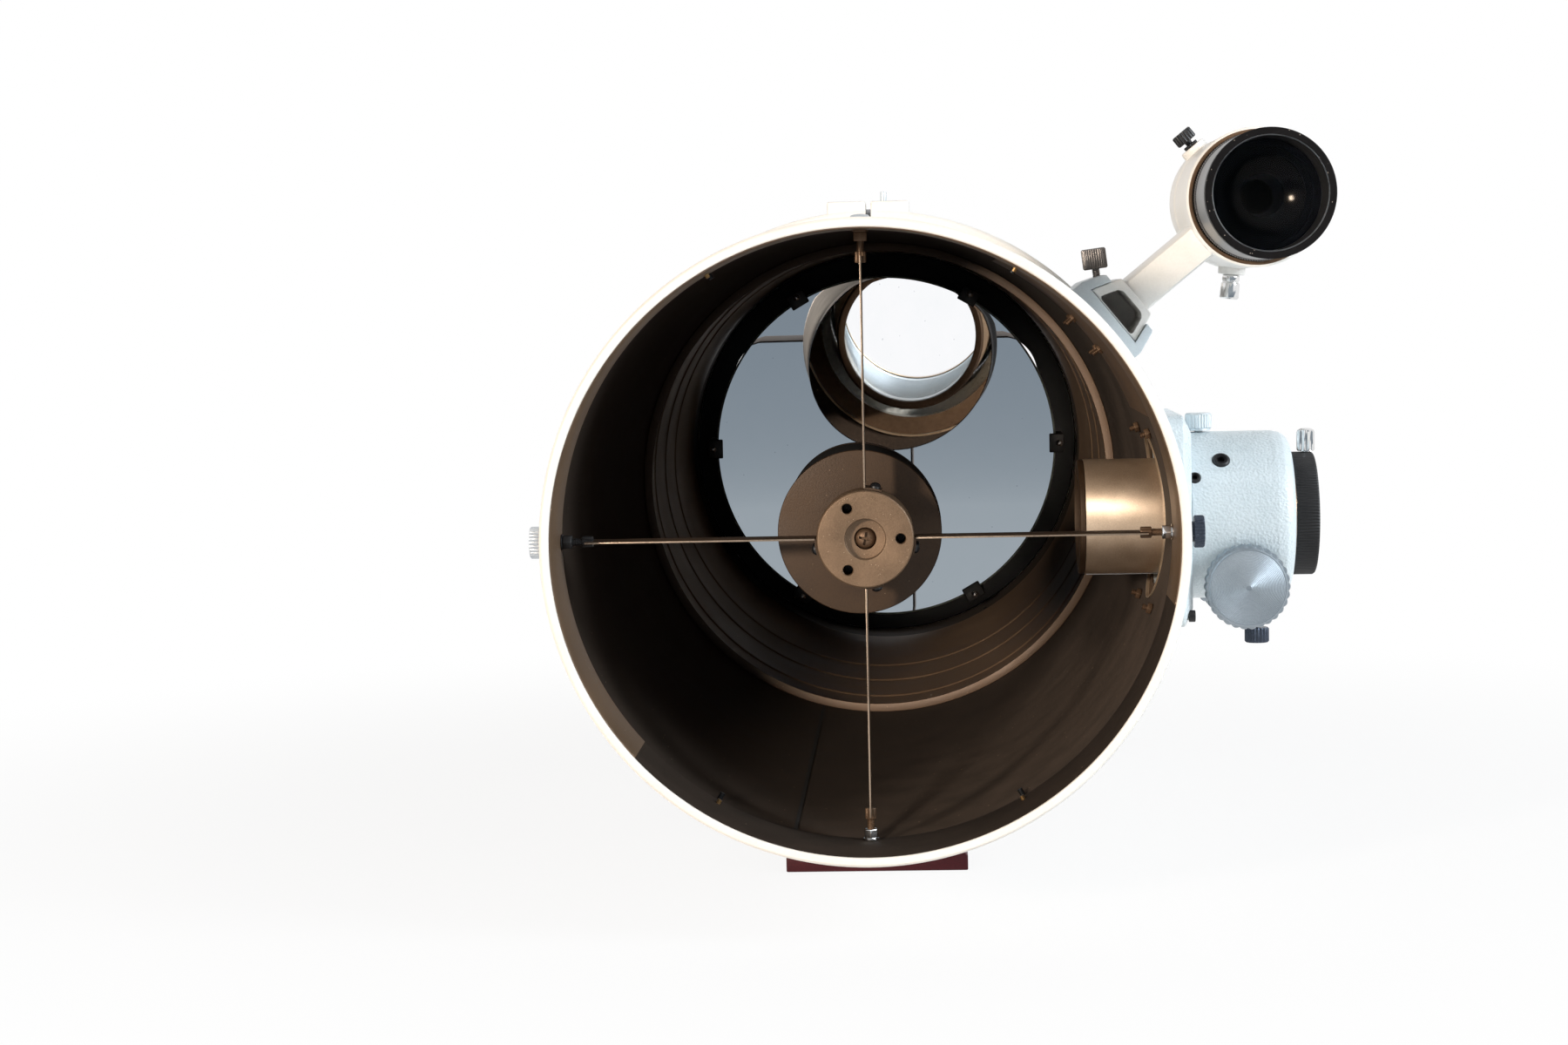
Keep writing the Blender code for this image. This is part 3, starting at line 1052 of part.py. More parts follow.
def build_hinge(name, jaw, cradle, hinge):
    """Three knuckles and a pin: the cradle has the outer pair with the pin, the jaw the middle one."""
    wide = CRADLE_WIDTH / 2 - CRADLE_BEVEL
    share = 2 * wide / KNUCKLE_SHARE
    frame = Matrix.Translation(hinge) @ Matrix.Rotation(-pi / 2, 4, "X")
    outwards = round_the_tube(HINGE_ANGLE)
    middle, edge = share / 2, wide
    clear = HINGE_RADIUS + RUN
    cut_middle = helper(f"{name}_knuckle_room", rod(clear, -middle - RUN, middle + RUN, SMALL_FACETS), frame)
    cut_outer = helper(
        f"{name}_knuckle_gaps",
        merged([(rod(clear, middle - RUN, CRADLE_WIDTH, SMALL_FACETS), frame),
                (rod(clear, -CRADLE_WIDTH, -middle + RUN, SMALL_FACETS), frame)]),
    )
    combine(cradle, cut_middle, "DIFFERENCE")
    combine(jaw, cut_outer, "DIFFERENCE")
    web = HINGE_RADIUS * sqrt(3) / 2
    sideways = Vector((-outwards.z, 0, outwards.x))
    turn = Matrix((sideways, outwards, Vector((0, 1, 0)))).transposed().to_4x4()
    arm = Matrix.Translation(hinge) @ turn
    jaw_arm = block((-2 * HINGE_RADIUS, -HINGE_STANDOFF - CRADLE_WALL / 2, -middle), (0, web, middle))
    jaw_knuckle = rod(HINGE_RADIUS, -middle, middle, SMALL_FACETS)
    combine(jaw, helper(f"{name}_jaw_arm", jaw_arm, arm), "UNION")
    combine(jaw, helper(f"{name}_jaw_knuckle", jaw_knuckle, frame), "UNION")
    arms = []
    for low, high in ((-edge, -middle - RUN), (middle + RUN, edge)):
        arms.append((block((0, -HINGE_STANDOFF - CRADLE_WALL / 2, low), (2 * HINGE_RADIUS, web, high)), arm))
    combine(cradle, helper(f"{name}_cradle_arms", merged(arms)), "UNION")
    waist = middle + RUN
    pinned = turned(
        [(0, -edge), (HINGE_RADIUS, -edge), (HINGE_RADIUS, -waist), (HINGE_PIN_RADIUS, -waist),
         (HINGE_PIN_RADIUS, waist), (HINGE_RADIUS, waist), (HINGE_RADIUS, edge), (0, edge)],
        SMALL_FACETS,
    )
    combine(cradle, helper(f"{name}_pin_and_knuckles", pinned, frame), "UNION")
    pin_hole = rod(HINGE_PIN_RADIUS + RUN, -CRADLE_WIDTH, CRADLE_WIDTH)
    combine(jaw, helper(f"{name}_pin_hole", pin_hole, frame), "DIFFERENCE")


def build_plate(red):
    """The dovetail plate: a vertical land below and undercut flanks above."""
    half = PLATE_WIDTH / 2
    right = [(half, 0), (half, PLATE_LAND), (half - PLATE_UNDERCUT, PLATE_THICKNESS)]
    outline = right + [(-x, y) for x, y in reversed(right)]
    frame = Matrix.Rotation(pi / 2, 4, "X")
    piece("dovetail_plate", extruded(outline, -PLATE_LENGTH / 2, PLATE_LENGTH / 2), frame, red)


def main():
    clear_scene()
    paint = finish("white_paint", (0.86, 0.85, 0.83), 0.35, 0.0)
    casting = finish("white_casting", (0.86, 0.85, 0.83), 0.40, 0.0)
    hammered = finish("hammered_paint", (0.72, 0.76, 0.78), 0.35, 0.1)
    black = finish("black_anodised", (0.03, 0.03, 0.03), 0.45, 0.2)
    bronze = finish("satin_bronze", (0.32, 0.22, 0.15), 0.45, 0.8)
    chrome = finish("chrome", (0.80, 0.80, 0.80), 0.12, 1.0)
    silver = finish("satin_aluminium", (0.60, 0.62, 0.64), 0.35, 1.0)
    steel = finish("spring_steel", (0.42, 0.42, 0.43), 0.35, 1.0)
    mirror = finish("silvered_glass", (0.90, 0.91, 0.92), 0.02, 1.0)
    lens = finish("coated_lens", (0.02, 0.03, 0.04), 0.05, 0.0)
    rubber = finish("rubber", (0.02, 0.02, 0.02), 0.75, 0.0)
    red = finish("dark_red_anodised", (0.10, 0.012, 0.016), 0.40, 0.6)
    build_tube(paint, casting, black)
    build_mirror_cell(mirror, black, silver, steel)
    build_spider(bronze, black, silver, mirror)
    build_focuser(hammered, bronze, black, chrome, silver)
    build_finder_mount(casting, silver)
    build_finder(casting, black, chrome, lens, rubber)
    for name, depth in CRADLE_DEPTHS.items():
        build_tube_ring(name, depth, casting, steel)
    build_plate(red)


main()
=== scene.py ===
"""Looks of the telescope tube: finished pieces, materials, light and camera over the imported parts.

Metres, +Z up, tube along Y with its open front at -Y. Depths run from the front rim, and heights
from the tube's axis.
"""

from math import atan2, cos, hypot, pi, radians, sin, sqrt

import bmesh
import bpy
from mathutils import Matrix, Vector


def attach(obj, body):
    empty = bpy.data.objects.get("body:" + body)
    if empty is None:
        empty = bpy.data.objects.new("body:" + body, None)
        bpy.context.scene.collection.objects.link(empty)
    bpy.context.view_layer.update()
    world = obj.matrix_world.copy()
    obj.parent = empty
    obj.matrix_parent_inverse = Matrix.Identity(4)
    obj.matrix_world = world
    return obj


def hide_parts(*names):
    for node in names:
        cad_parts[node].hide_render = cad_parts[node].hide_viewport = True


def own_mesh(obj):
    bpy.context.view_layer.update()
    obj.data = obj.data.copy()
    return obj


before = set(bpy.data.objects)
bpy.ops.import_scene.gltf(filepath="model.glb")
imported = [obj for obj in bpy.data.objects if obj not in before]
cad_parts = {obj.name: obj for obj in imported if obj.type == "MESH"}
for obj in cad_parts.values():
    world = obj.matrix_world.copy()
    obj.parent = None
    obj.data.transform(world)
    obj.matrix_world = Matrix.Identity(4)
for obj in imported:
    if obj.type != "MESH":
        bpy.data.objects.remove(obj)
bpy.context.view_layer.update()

FRONT_Y = -0.428
AXIS_Z = 0.187
LINING_RADIUS = 0.1457
SADDLE_RADIUS = 0.1470
RING_RADIUS = 0.1492
FOCUSER_DEPTH = 0.149
FINDER_ANGLE = 39
FINDER_RADIUS = 0.2512
UP = Vector((0, 0, 1))
ACROSS = Vector((1, 0, 0))
CREASE = radians(32)

# Facets round the tube, the barrels, middling pieces and small ones
WIDE = 192
BROAD = 160
ROUND = 144
SMALL = 48

# Turns that lay local Z along the tube, towards its front and out towards the focuser
TUBEWARD = Matrix.Rotation(-pi / 2, 4, "X")
FRONTWARD = Matrix.Rotation(pi / 2, 4, "X")
SIDEWARD = Matrix.Rotation(pi / 2, 4, "Y")
TUBE = Matrix.Translation((0, FRONT_Y, AXIS_Z)) @ TUBEWARD
FOCUSER = Matrix.Translation((0, FRONT_Y + FOCUSER_DEPTH, AXIS_Z)) @ SIDEWARD


def at(x, depth, z):
    """A point given from the tube's axis and its front rim."""
    return Vector((x, FRONT_Y + depth, AXIS_Z + z))


def round_the_tube(angle):
    """The unit vector at an angle round the tube, from +X towards +Z."""
    return Vector((cos(radians(angle)), 0, sin(radians(angle))))


def axes(x, y, z):
    """A turn that lays the local axes along three unit vectors."""
    return Matrix((x, y, z)).transposed().to_4x4()


def aim(point, direction):
    """A frame with local Z along a direction square to the tube and local Y along the tube."""
    along = Vector((0, 1, 0))
    return Matrix.Translation(point) @ axes(along.cross(direction), along, direction)


def around(angle):
    """The tube's frame, turned by an angle from +X towards +Z."""
    return TUBE @ Matrix.Rotation(-radians(angle), 4, "Z")


def tube_spot(radius, angle):
    """A frame along the tube, off its axis by a radius at an angle from +X towards +Z."""
    return around(angle) @ Matrix.Translation((radius, 0, 0))


FINDER_POINT = round_the_tube(FINDER_ANGLE) * FINDER_RADIUS
FINDER = Matrix.Translation(at(FINDER_POINT.x, 0, FINDER_POINT.z)) @ TUBEWARD
SHOE_TURN = Matrix.Rotation(-radians(FINDER_ANGLE - 90), 4, "Y")
SHOE = Matrix.Translation((0, FRONT_Y, AXIS_Z)) @ SHOE_TURN @ FRONTWARD


# Shapes


def placed(shape, matrix):
    bmesh.ops.transform(shape, matrix=matrix, verts=shape.verts)
    return shape


def closed(shape):
    """Doubles merged and faces turned outwards."""
    bmesh.ops.remove_doubles(shape, verts=shape.verts, dist=1e-6)
    bmesh.ops.recalc_face_normals(shape, faces=shape.faces)
    return shape


def filled(shape):
    """Open ends covered, then closed."""
    bmesh.ops.holes_fill(shape, edges=[edge for edge in shape.edges if edge.is_boundary])
    return closed(shape)


def shifted(shape, grown, vector):
    """The shape with the points of a fresh extrusion moved."""
    points = [item for item in grown["geom"] if isinstance(item, bmesh.types.BMVert)]
    bmesh.ops.translate(shape, vec=vector, verts=points)
    return shape


def eased(shape, width, chosen=None, segments=3):
    """Edges sharper than 25 degrees, or those chosen, rounded over."""
    edges = [edge for edge in shape.edges if edge.calc_face_angle(0) > radians(25)]
    if chosen:
        edges = [edge for edge in edges if chosen(edge)]
    bmesh.ops.bevel(shape, geom=edges, offset=width, segments=segments, profile=0.5, affect="EDGES",
                    material=-1, clamp_overlap=True)
    return shape


def turned(profile, facets=ROUND, ease=0.0, turn=2 * pi):
    """A closed (radius, height) outline with eased corners, turned about local Z."""
    shape = bmesh.new()
    verts = [shape.verts.new((radius, 0, height)) for radius, height in profile]
    shape.faces.new(verts)
    if ease:
        corners = [vert for vert in verts if vert.co.x > 1e-6]
        bmesh.ops.bevel(shape, geom=corners, offset=ease, segments=3, profile=0.5, affect="VERTICES",
                        material=-1, clamp_overlap=True)
    bmesh.ops.delete(shape, geom=list(shape.faces), context="FACES_ONLY")
    whole = turn >= 2 * pi
    bmesh.ops.spin(shape, geom=shape.verts[:] + shape.edges[:], cent=(0, 0, 0), axis=(0, 0, 1),
                   angle=turn, steps=facets, use_merge=whole)
    return closed(shape) if whole else filled(shape)


def rod(radius, low, high, facets=SMALL, ease=0.0):
    return turned([(0, low), (radius, low), (radius, high), (0, high)], facets, ease)


def tube(inner, outer, low, high, facets=ROUND, ease=0.0003):
    return turned([(inner, low), (outer, low), (outer, high), (inner, high)], facets, ease)


def run(outline, low, high, ease=0.0):
    """A closed (x, y) outline run along local Z, with eased edges."""
    shape = bmesh.new()
    face = shape.faces.new([shape.verts.new((x, y, low)) for x, y in outline])
    grown = bmesh.ops.extrude_face_region(shape, geom=[face])
    closed(shifted(shape, grown, (0, 0, high - low)))
    return eased(shape, ease) if ease else shape


def bar(low, high, ease=0.0004):
    shape = bmesh.new()
    bmesh.ops.create_cube(shape, size=1)
    size = Vector(high) - Vector(low)
    bmesh.ops.scale(shape, vec=size, verts=shape.verts)
    bmesh.ops.translate(shape, vec=(Vector(high) + Vector(low)) / 2, verts=shape.verts)
    return eased(shape, ease) if ease else shape


def hexagon(across, low, high, ease=0.0003):
    """A six-sided bar, measured across its flats."""
    shape = bmesh.new()
    radius = across / 2 / cos(pi / 6)
    bmesh.ops.create_cone(shape, cap_ends=True, segments=6, radius1=radius, radius2=radius,
                          depth=high - low, matrix=Matrix.Translation((0, 0, (low + high) / 2)))
    return eased(shape, ease)


def joined(shapes):
    """Several shapes in one piece, each still closed."""
    whole = bmesh.new()
    for shape in shapes:
        mesh = bpy.data.meshes.new("share")
        shape.to_mesh(mesh)
        shape.free()
        whole.from_mesh(mesh)
        bpy.data.meshes.remove(mesh)
    return whole


def in_scene(name, shape):
    """The shape as a mesh object in the scene."""
    mesh = bpy.data.meshes.new(name)
    shape.to_mesh(mesh)
    shape.free()
    made = bpy.data.objects.new(name, mesh)
    bpy.context.scene.collection.objects.link(made)
    return made


def carve(shape, tools, operation="DIFFERENCE"):
    """The shape with its tools cut away, or kept in common."""
    pieces = [in_scene("workpiece", closed(shape))]
    for tool in tools:
        pieces.append(in_scene("workpiece", closed(tool)))
        step = pieces[0].modifiers.new("carve", "BOOLEAN")
        step.object = pieces[-1]
        step.operation = operation
        step.solver = "EXACT"
    graph = bpy.context.evaluated_depsgraph_get()
    mesh = bpy.data.meshes.new_from_object(pieces[0].evaluated_get(graph))
    result = bmesh.new()
    result.from_mesh(mesh)
    bpy.data.meshes.remove(mesh)
    for old in pieces:
        data = old.data
        bpy.data.objects.remove(old)
        bpy.data.meshes.remove(data)
    return result


def socketed(shape, across, low, high):
    """A screw with a six-sided socket sunk in it."""
    return carve(shape, [hexagon(across, low, high, 0)])


def fluted(shape, count, depth, low, high, floor):
    """Grooves along local Z in the skin outside a radius, between two heights."""
    for vert in shape.verts:
        radius = hypot(vert.co.x, vert.co.y)
        if radius > floor and low <= vert.co.z <= high:
            share = 1 - depth * abs(cos(count * atan2(vert.co.y, vert.co.x) / 2)) / radius
            vert.co.x *= share
            vert.co.y *= share
    return shape


def knurled(radius, low, high, teeth, depth, ease=0.0006, dish=0.0):
    """A round head with straight knurling and eased rims, its end dished if asked."""
    hollow = [(radius * 0.62, high), (radius * 0.55, high - dish)] if dish else []
    inset = radius - ease
    profile = [(0, low), (inset, low), (radius, low + ease), (radius, high - ease), (inset, high)]
    shape = turned(profile + hollow + [(0, high - dish)], teeth * 4)
    return fluted(shape, teeth, depth, low + ease / 2, high - ease / 2, radius - ease / 2)


def threaded(radius, low, high, pitch=0.0008):
    """A screw's shank with its thread as close rings."""
    count = max(2, round((high - low) / pitch))
    step = (high - low) / count
    root = radius - 0.0003
    ridges = []
    for i in range(count):
        ridges += [(radius, low + i * step), (radius, low + (i + 0.35) * step)]
        ridges += [(root, low + (i + 0.55) * step), (root, low + (i + 0.8) * step)]
    return turned([(0, low)] + ridges + [(radius, high), (0, high)], 24)


def wire_section(radius, wire, height, segments):
    """A round wire's section beside local Z, to be spun."""
    shape = bmesh.new()
    there = Matrix.Translation((radius, 0, height)) @ FRONTWARD
    bmesh.ops.create_circle(shape, cap_ends=False, radius=wire, segments=segments, matrix=there)
    return shape


def coil(radius, wire, low, high, turns, steps=32):
    """A wound spring: a round section carried round and along local Z."""
    shape = wire_section(radius, wire, low, 12)
    count = turns * steps
    bmesh.ops.spin(shape, geom=shape.verts[:] + shape.edges[:], cent=(0, 0, 0), axis=(0, 0, 1),
                   dvec=(0, 0, (high - low) / count), angle=2 * pi * turns, steps=count, use_merge=False)
    return filled(shape)


def cut_flat(shape, point, normal):
    """The side of a shape behind a plane, with the cut closed."""
    geom = shape.verts[:] + shape.edges[:] + shape.faces[:]
    bmesh.ops.bisect_plane(shape, geom=geom, plane_co=point, plane_no=normal, clear_outer=True)
    return filled(shape)


def mirrored(outline):
    """One side of an outline, from bottom to top, with its mirror image."""
    return outline + [(-x, y) for x, y in reversed(outline)]


def add(name, shape, material, body="tube", node=None):
    """The shape as a finished piece that moves with a body and stands for a node, if it has one."""
    piece = in_scene(name, closed(shape))
    piece.data.shade_smooth()
    piece.data.set_sharp_from_angle(angle=CREASE)
    piece.data.materials.append(material)
    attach(piece, body)
    if node:
        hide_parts(node)
    return piece


def add_mover(name, shape, material, node):
    """A piece that stands for the one node of the body of the same name."""
    return add(name, shape, material, node, node)


# Materials


def tint(red, green, blue):
    """A colour as seen on screen, 0 to 255, made linear."""
    shares = [value / 255 for value in (red, green, blue)]
    return tuple(share / 12.92 if share <= 0.04045 else ((share + 0.055) / 1.055) ** 2.4
                 for share in shares) + (1,)


def put(tree, kind, inputs, **settings):
    """A node with its settings, and its inputs set or linked."""
    made = tree.nodes.new("ShaderNode" + kind)
    for key, value in settings.items():
        setattr(made, key, value)
    for key, value in inputs.items():
        if isinstance(value, bpy.types.NodeSocket):
            tree.links.new(value, made.inputs[key])
        else:
            made.inputs[key].default_value = value
    return made


def blend(tree, share, first, second):
    """A colour between two others, by a share."""
    return put(tree, "Mix", {0: share, 6: first, 7: second}, data_type="RGBA").outputs[2]


def new_material(name):
    made = bpy.data.materials.new(name)
    made.use_nodes = True
    return made, made.node_tree


def effect(name, inputs, outputs):
    """An empty node group with named sockets."""
    tree = bpy.data.node_groups.new(name, "ShaderNodeTree")
    for label, kind in inputs:
        tree.interface.new_socket(label, in_out="INPUT", socket_type="NodeSocket" + kind)
    for label in outputs:
        tree.interface.new_socket(label, in_out="OUTPUT", socket_type="NodeSocketFloat")
    given = tree.nodes.new("NodeGroupInput").outputs
    result = tree.nodes.new("NodeGroupOutput").inputs
    return tree, given, result


PATTERN_INPUTS = [("Vector", "Vector"), ("Scale", "Float")]


def surface_grain():
    """Fine and broad unevenness: a tone for colour and roughness, and a height for bump."""
    tree, given, result = effect("surface_grain", PATTERN_INPUTS, ["Tone", "Height"])
    vector, scale = given["Vector"], given["Scale"]
    fine = put(tree, "TexNoise", {"Vector": vector, "Scale": scale, "Detail": 4.0, "Roughness": 0.65})
    wide = put(tree, "Math", {0: scale, 1: 0.05}, operation="MULTIPLY")
    broad = put(tree, "TexNoise", {"Vector": vector, "Scale": wide.outputs[0], "Detail": 3.0})
    both = put(tree, "Mix", {0: 0.45, 2: fine.outputs[0], 3: broad.outputs[0]})
    tone = put(tree, "MapRange", {"Value": both.outputs[0], "From Min": 0.34, "From Max": 0.66})
    tree.links.new(tone.outputs[0], result["Tone"])
    tree.links.new(fine.outputs[0], result["Height"])
    return tree


def settled_specks():
    """Small scattered grains: a mask of round dots, a share of the cells holding one."""
    tree, given, result = effect("settled_specks", PATTERN_INPUTS + [("Share", "Float")], ["Mask"])
    cells = put(tree, "TexVoronoi", {"Vector": given["Vector"], "Scale": given["Scale"]})
    dot = put(tree, "MapRange", {"Value": cells.outputs["Distance"], "From Min": 0.16, "From Max": 0.26,
                                 "To Min": 1.0, "To Max": 0.0})
    lot = put(tree, "SeparateColor", {"Color": cells.outputs["Color"]})
    held = put(tree, "Math", {0: lot.outputs[0], 1: given["Share"]}, operation="LESS_THAN")
    mask = put(tree, "Math", {0: dot.outputs[0], 1: held.outputs[0]}, operation="MULTIPLY")
    tree.links.new(mask.outputs[0], result["Mask"])
    return tree


def turning_marks():
    """Fine rings round local Z, as a lathe leaves them on a face."""
    tree, given, result = effect("turning_marks", PATTERN_INPUTS, ["Ridge"])
    parts = put(tree, "SeparateXYZ", {"Vector": given["Vector"]})
    flat = put(tree, "CombineXYZ", {"X": parts.outputs["X"], "Y": parts.outputs["Y"]})
    radius = put(tree, "VectorMath", {0: flat.outputs[0]}, operation="LENGTH")
    rings = put(tree, "TexNoise", {"W": radius.outputs["Value"], "Scale": given["Scale"], "Detail": 3.0},
                noise_dimensions="1D")
    tree.links.new(rings.outputs[0], result["Ridge"])
    return tree


def hammered_dimples():
    """The rounded dimples of a hammered paint, as a height."""
    tree, given, result = effect("hammered_dimples", PATTERN_INPUTS, ["Height"])
    vector, scale = given["Vector"], given["Scale"]
    cells = put(tree, "TexVoronoi", {"Vector": vector, "Scale": scale, "Smoothness": 0.6},
                feature="SMOOTH_F1")
    ripple = put(tree, "TexNoise", {"Vector": vector, "Scale": scale, "Detail": 2.0})
    height = put(tree, "Math", {0: cells.outputs["Distance"], 1: ripple.outputs[0]}, operation="ADD")
    tree.links.new(height.outputs[0], result["Height"])
    return tree


GRAIN = surface_grain()
SPECKS = settled_specks()
MARKS = turning_marks()
DIMPLES = hammered_dimples()


def finish(name, dark, light, rough, metallic=0.0, scale=700.0, bump=0.06, specks=None, marks=None,
           dimples=None, specular=0.5):
    """A material from two tones of one colour, with its grain, bump and any specks, marks or dimples.

    specks is (colour, scale, share); marks is (centre, rotation, scale, strength); dimples is
    (scale, strength).
    """
    made, tree = new_material(name)
    shader = tree.nodes["Principled BSDF"]
    shader.inputs["Metallic"].default_value = metallic
    shader.inputs["Specular IOR Level"].default_value = specular
    vector = put(tree, "TexCoord", {}).outputs["Object"]
    grain = put(tree, "Group", {"Vector": vector, "Scale": scale}, node_tree=GRAIN)
    tone = grain.outputs["Tone"]
    height = grain.outputs["Height"]
    if marks:
        centre, rotation, rings, strength = marks
        local = put(tree, "Mapping", {"Vector": vector, "Location": centre, "Rotation": rotation},
                    vector_type="TEXTURE")
        ridge = put(tree, "Group", {"Vector": local.outputs[0], "Scale": rings}, node_tree=MARKS)
        tone = put(tree, "Mix", {0: strength, 2: tone, 3: ridge.outputs[0]}).outputs[0]
        height = put(tree, "Mix", {0: strength, 2: height, 3: ridge.outputs[0]}).outputs[0]
    if dimples:
        dents = put(tree, "Group", {"Vector": vector, "Scale": dimples[0]}, node_tree=DIMPLES)
        height = put(tree, "Mix", {0: dimples[1], 2: height, 3: dents.outputs[0]}).outputs[0]
    colour = blend(tree, tone, tint(*dark), tint(*light))
    if specks:
        dust, fineness, share = specks
        grains = put(tree, "Group", {"Vector": vector, "Scale": fineness, "Share": share}, node_tree=SPECKS)
        colour = blend(tree, grains.outputs[0], colour, tint(*dust))
    sheen = put(tree, "MapRange", {"Value": tone, "To Min": rough[0], "To Max": rough[1]})
    raised = put(tree, "Bump", {"Height": height, "Strength": bump, "Distance": 0.001})
    tree.links.new(colour, shader.inputs["Base Color"])
    tree.links.new(sheen.outputs[0], shader.inputs["Roughness"])
    tree.links.new(raised.outputs[0], shader.inputs["Normal"])
    return made


def lens_glass():
    """Clear coated glass."""
    made, tree = new_material("lens_glass")
    shader = tree.nodes["Principled BSDF"]
    shader.inputs["Transmission Weight"].default_value = 1.0
    shader.inputs["IOR"].default_value = 1.52
    vector = put(tree, "TexCoord", {}).outputs["Object"]
    grain = put(tree, "Group", {"Vector": vector, "Scale": 40.0}, node_tree=GRAIN)
    colour = blend(tree, grain.outputs["Tone"], tint(176, 190, 206), tint(188, 196, 214))
    tree.links.new(colour, shader.inputs["Base Color"])
    shader.inputs["Roughness"].default_value = 0.12
    shader.inputs["Specular Tint"].default_value = (0.12, 0.11, 0.10, 1)
    return made


SHAFT_X = 0.18455
SHAFT_POINT = at(SHAFT_X, FOCUSER_DEPTH, -0.03215)
KNOB_MARKS = (SHAFT_POINT, (pi / 2, 0, 0), 3200.0, 0.4)

# Paints
gloss_white = finish("gloss_white", (239, 237, 233), (244, 242, 238), (0.24, 0.28),
                     scale=500, bump=0.02)
cast_white = finish("cast_white", (236, 233, 228), (246, 243, 238), (0.30, 0.42),
                    scale=900, bump=0.05)
# Painted shade: a dimmer copy of the cast white paint for the front ring, so the brightly lit rim stays off
# pure white.
dimmed_rim_white = finish("dimmed_rim_white", (228, 224, 217), (238, 234, 228), (0.3, 0.42),
                   scale=900, bump=0.05)
# Hammered white paint whose dimples are real; its pale blue tint is painted cool light, standing for the
# fill that lights the focuser.
hammered_cool_lit = finish("hammered_cool_lit", (218, 228, 232), (228, 236, 239), (0.24, 0.36),
                  scale=1400, bump=0.36, dimples=(760.0, 0.85))
# Painted shade: a greyer, bluer copy of the white paint for the finder's shoe.
shoe_white_shaded = finish("shoe_white_shaded", (204, 213, 218), (217, 224, 228), (0.28, 0.4),
                    scale=1200, bump=0.06)
# Dark flocking on the tube's inner wall; also the painted shade on the collar's lower arc.
flock_and_shade = finish("flock_and_shade", (38, 31, 25), (53, 43, 36), (0.7, 0.82), scale=900, bump=0.12,
               specks=((150, 132, 112), 620.0, 0.006), specular=0.2)
# Painted warm light: a brown copy of the black inner paint, for the deep wall behind the baffle, its hoops
# and the patch behind the finder's shoe.
warm_lit_lining = finish("warm_lit_lining", (84, 66, 51), (104, 84, 66), (0.5, 0.65), scale=420, bump=0.10,
                specks=((170, 146, 122), 520.0, 0.008), specular=0.3)
# Painted warm light: a tan copy of the black inner paint, for the lit arc of the collar and the wall round
# the focuser's port.
warm_lit_collar_paint = finish("warm_lit_collar_paint", (94, 75, 58), (120, 97, 76), (0.42, 0.55),
                    metallic=0.3, scale=620, bump=0.08, specks=((205, 182, 156), 700.0, 0.015))

# Metals, from dark to bright; the brown and warm tones carry painted warm light
# Painted warm light: the drawtube's anodised aluminium, warmed to stand for the warm light that falls on
# it.
drawtube_warm_lit = finish("drawtube_warm_lit", (208, 184, 158), (234, 212, 188), (0.36, 0.44), metallic=0.85,
                scale=1500, specks=((250, 236, 216), 1400.0, 0.04))
# Painted highlight: a bright tan for the raw edge of the focuser's port, where it catches the light.
edge_metal_warm_lit = finish("edge_metal_warm_lit", (206, 178, 146), (232, 208, 180), (0.3, 0.4),
                     metallic=0.6, scale=1200, bump=0.08)
# Painted warm light: the hub, holder, vanes, bolts and nuts inside the tube are black, and these brown
# tones stand for the warm light on them.
hub_black_warm_lit = finish("hub_black_warm_lit", (98, 78, 59), (124, 100, 78), (0.40, 0.54), metallic=0.5,
                    scale=1500, bump=0.2, specks=((190, 166, 142), 1500.0, 0.03))
# Painted warm light: a mid brown copy of the black paint, for bolts, nuts, studs and small rings.
fittings_black_warm_lit = finish("fittings_black_warm_lit", (88, 68, 51), (116, 91, 70), (0.40, 0.52), metallic=0.6,
                     scale=1200, bump=0.14)
# Painted highlight: bright steel for the thin strip along each vane's front edge.
edge_highlight_steel = finish("edge_highlight_steel", (150, 130, 112), (186, 166, 146), (0.26, 0.36),
                    metallic=0.9, scale=1200)
smoked_steel = finish("smoked_steel", (96, 92, 90), (136, 131, 128), (0.3, 0.42),
                      metallic=0.9, scale=1000, bump=0.08)
# Satin metal; also the painted highlight ring inside the finder's objective rim.
satin_and_highlight = finish("satin_and_highlight", (176, 180, 184), (206, 209, 212), (0.30, 0.42), metallic=1.0,
               scale=900)
spun = finish("spun", (138, 148, 156), (174, 182, 189), (0.36, 0.44), metallic=1.0,
              scale=1500, bump=0.05, marks=KNOB_MARKS)
pale_satin = finish("pale_satin", (212, 222, 226), (230, 237, 240), (0.32, 0.42),
                    metallic=0.5, scale=900)
steel = finish("steel", (150, 150, 152), (182, 182, 184), (0.22, 0.34), metallic=1.0,
               bump=0.05)
brass = finish("brass", (168, 136, 92), (206, 172, 120), (0.28, 0.4), metallic=0.9,
               scale=900)
chrome = finish("bright_chrome", (216, 216, 216), (232, 232, 232), (0.06, 0.12), metallic=1.0,
                scale=300, bump=0.01)

# Anodised metal and rubber; the brown holder tone is black anodising with painted warm light
# Painted warm light: a dim brown copy of the black anodising, for the vanes, holder, baffle and drawtube
# tip.
dim_black_warm_lit = finish("dim_black_warm_lit", (56, 40, 26), (72, 53, 36), (0.46, 0.6),
                      metallic=0.4, scale=1100, bump=0.12, specks=((140, 118, 94), 1100.0, 0.012))
black = finish("black", (20, 20, 21), (34, 34, 36), (0.32, 0.46), metallic=0.2,
               scale=1000, bump=0.08)
dusty_black = finish("dusty_black", (10, 9, 10), (20, 18, 19), (0.44, 0.56), metallic=0.2,
                     scale=1400, bump=0.12, specks=((176, 164, 154), 1000.0, 0.07), specular=0.12)
barrel_grey = finish("barrel_grey", (80, 80, 83), (112, 111, 111), (0.28, 0.38),
                     metallic=0.85, scale=800, bump=0.08)
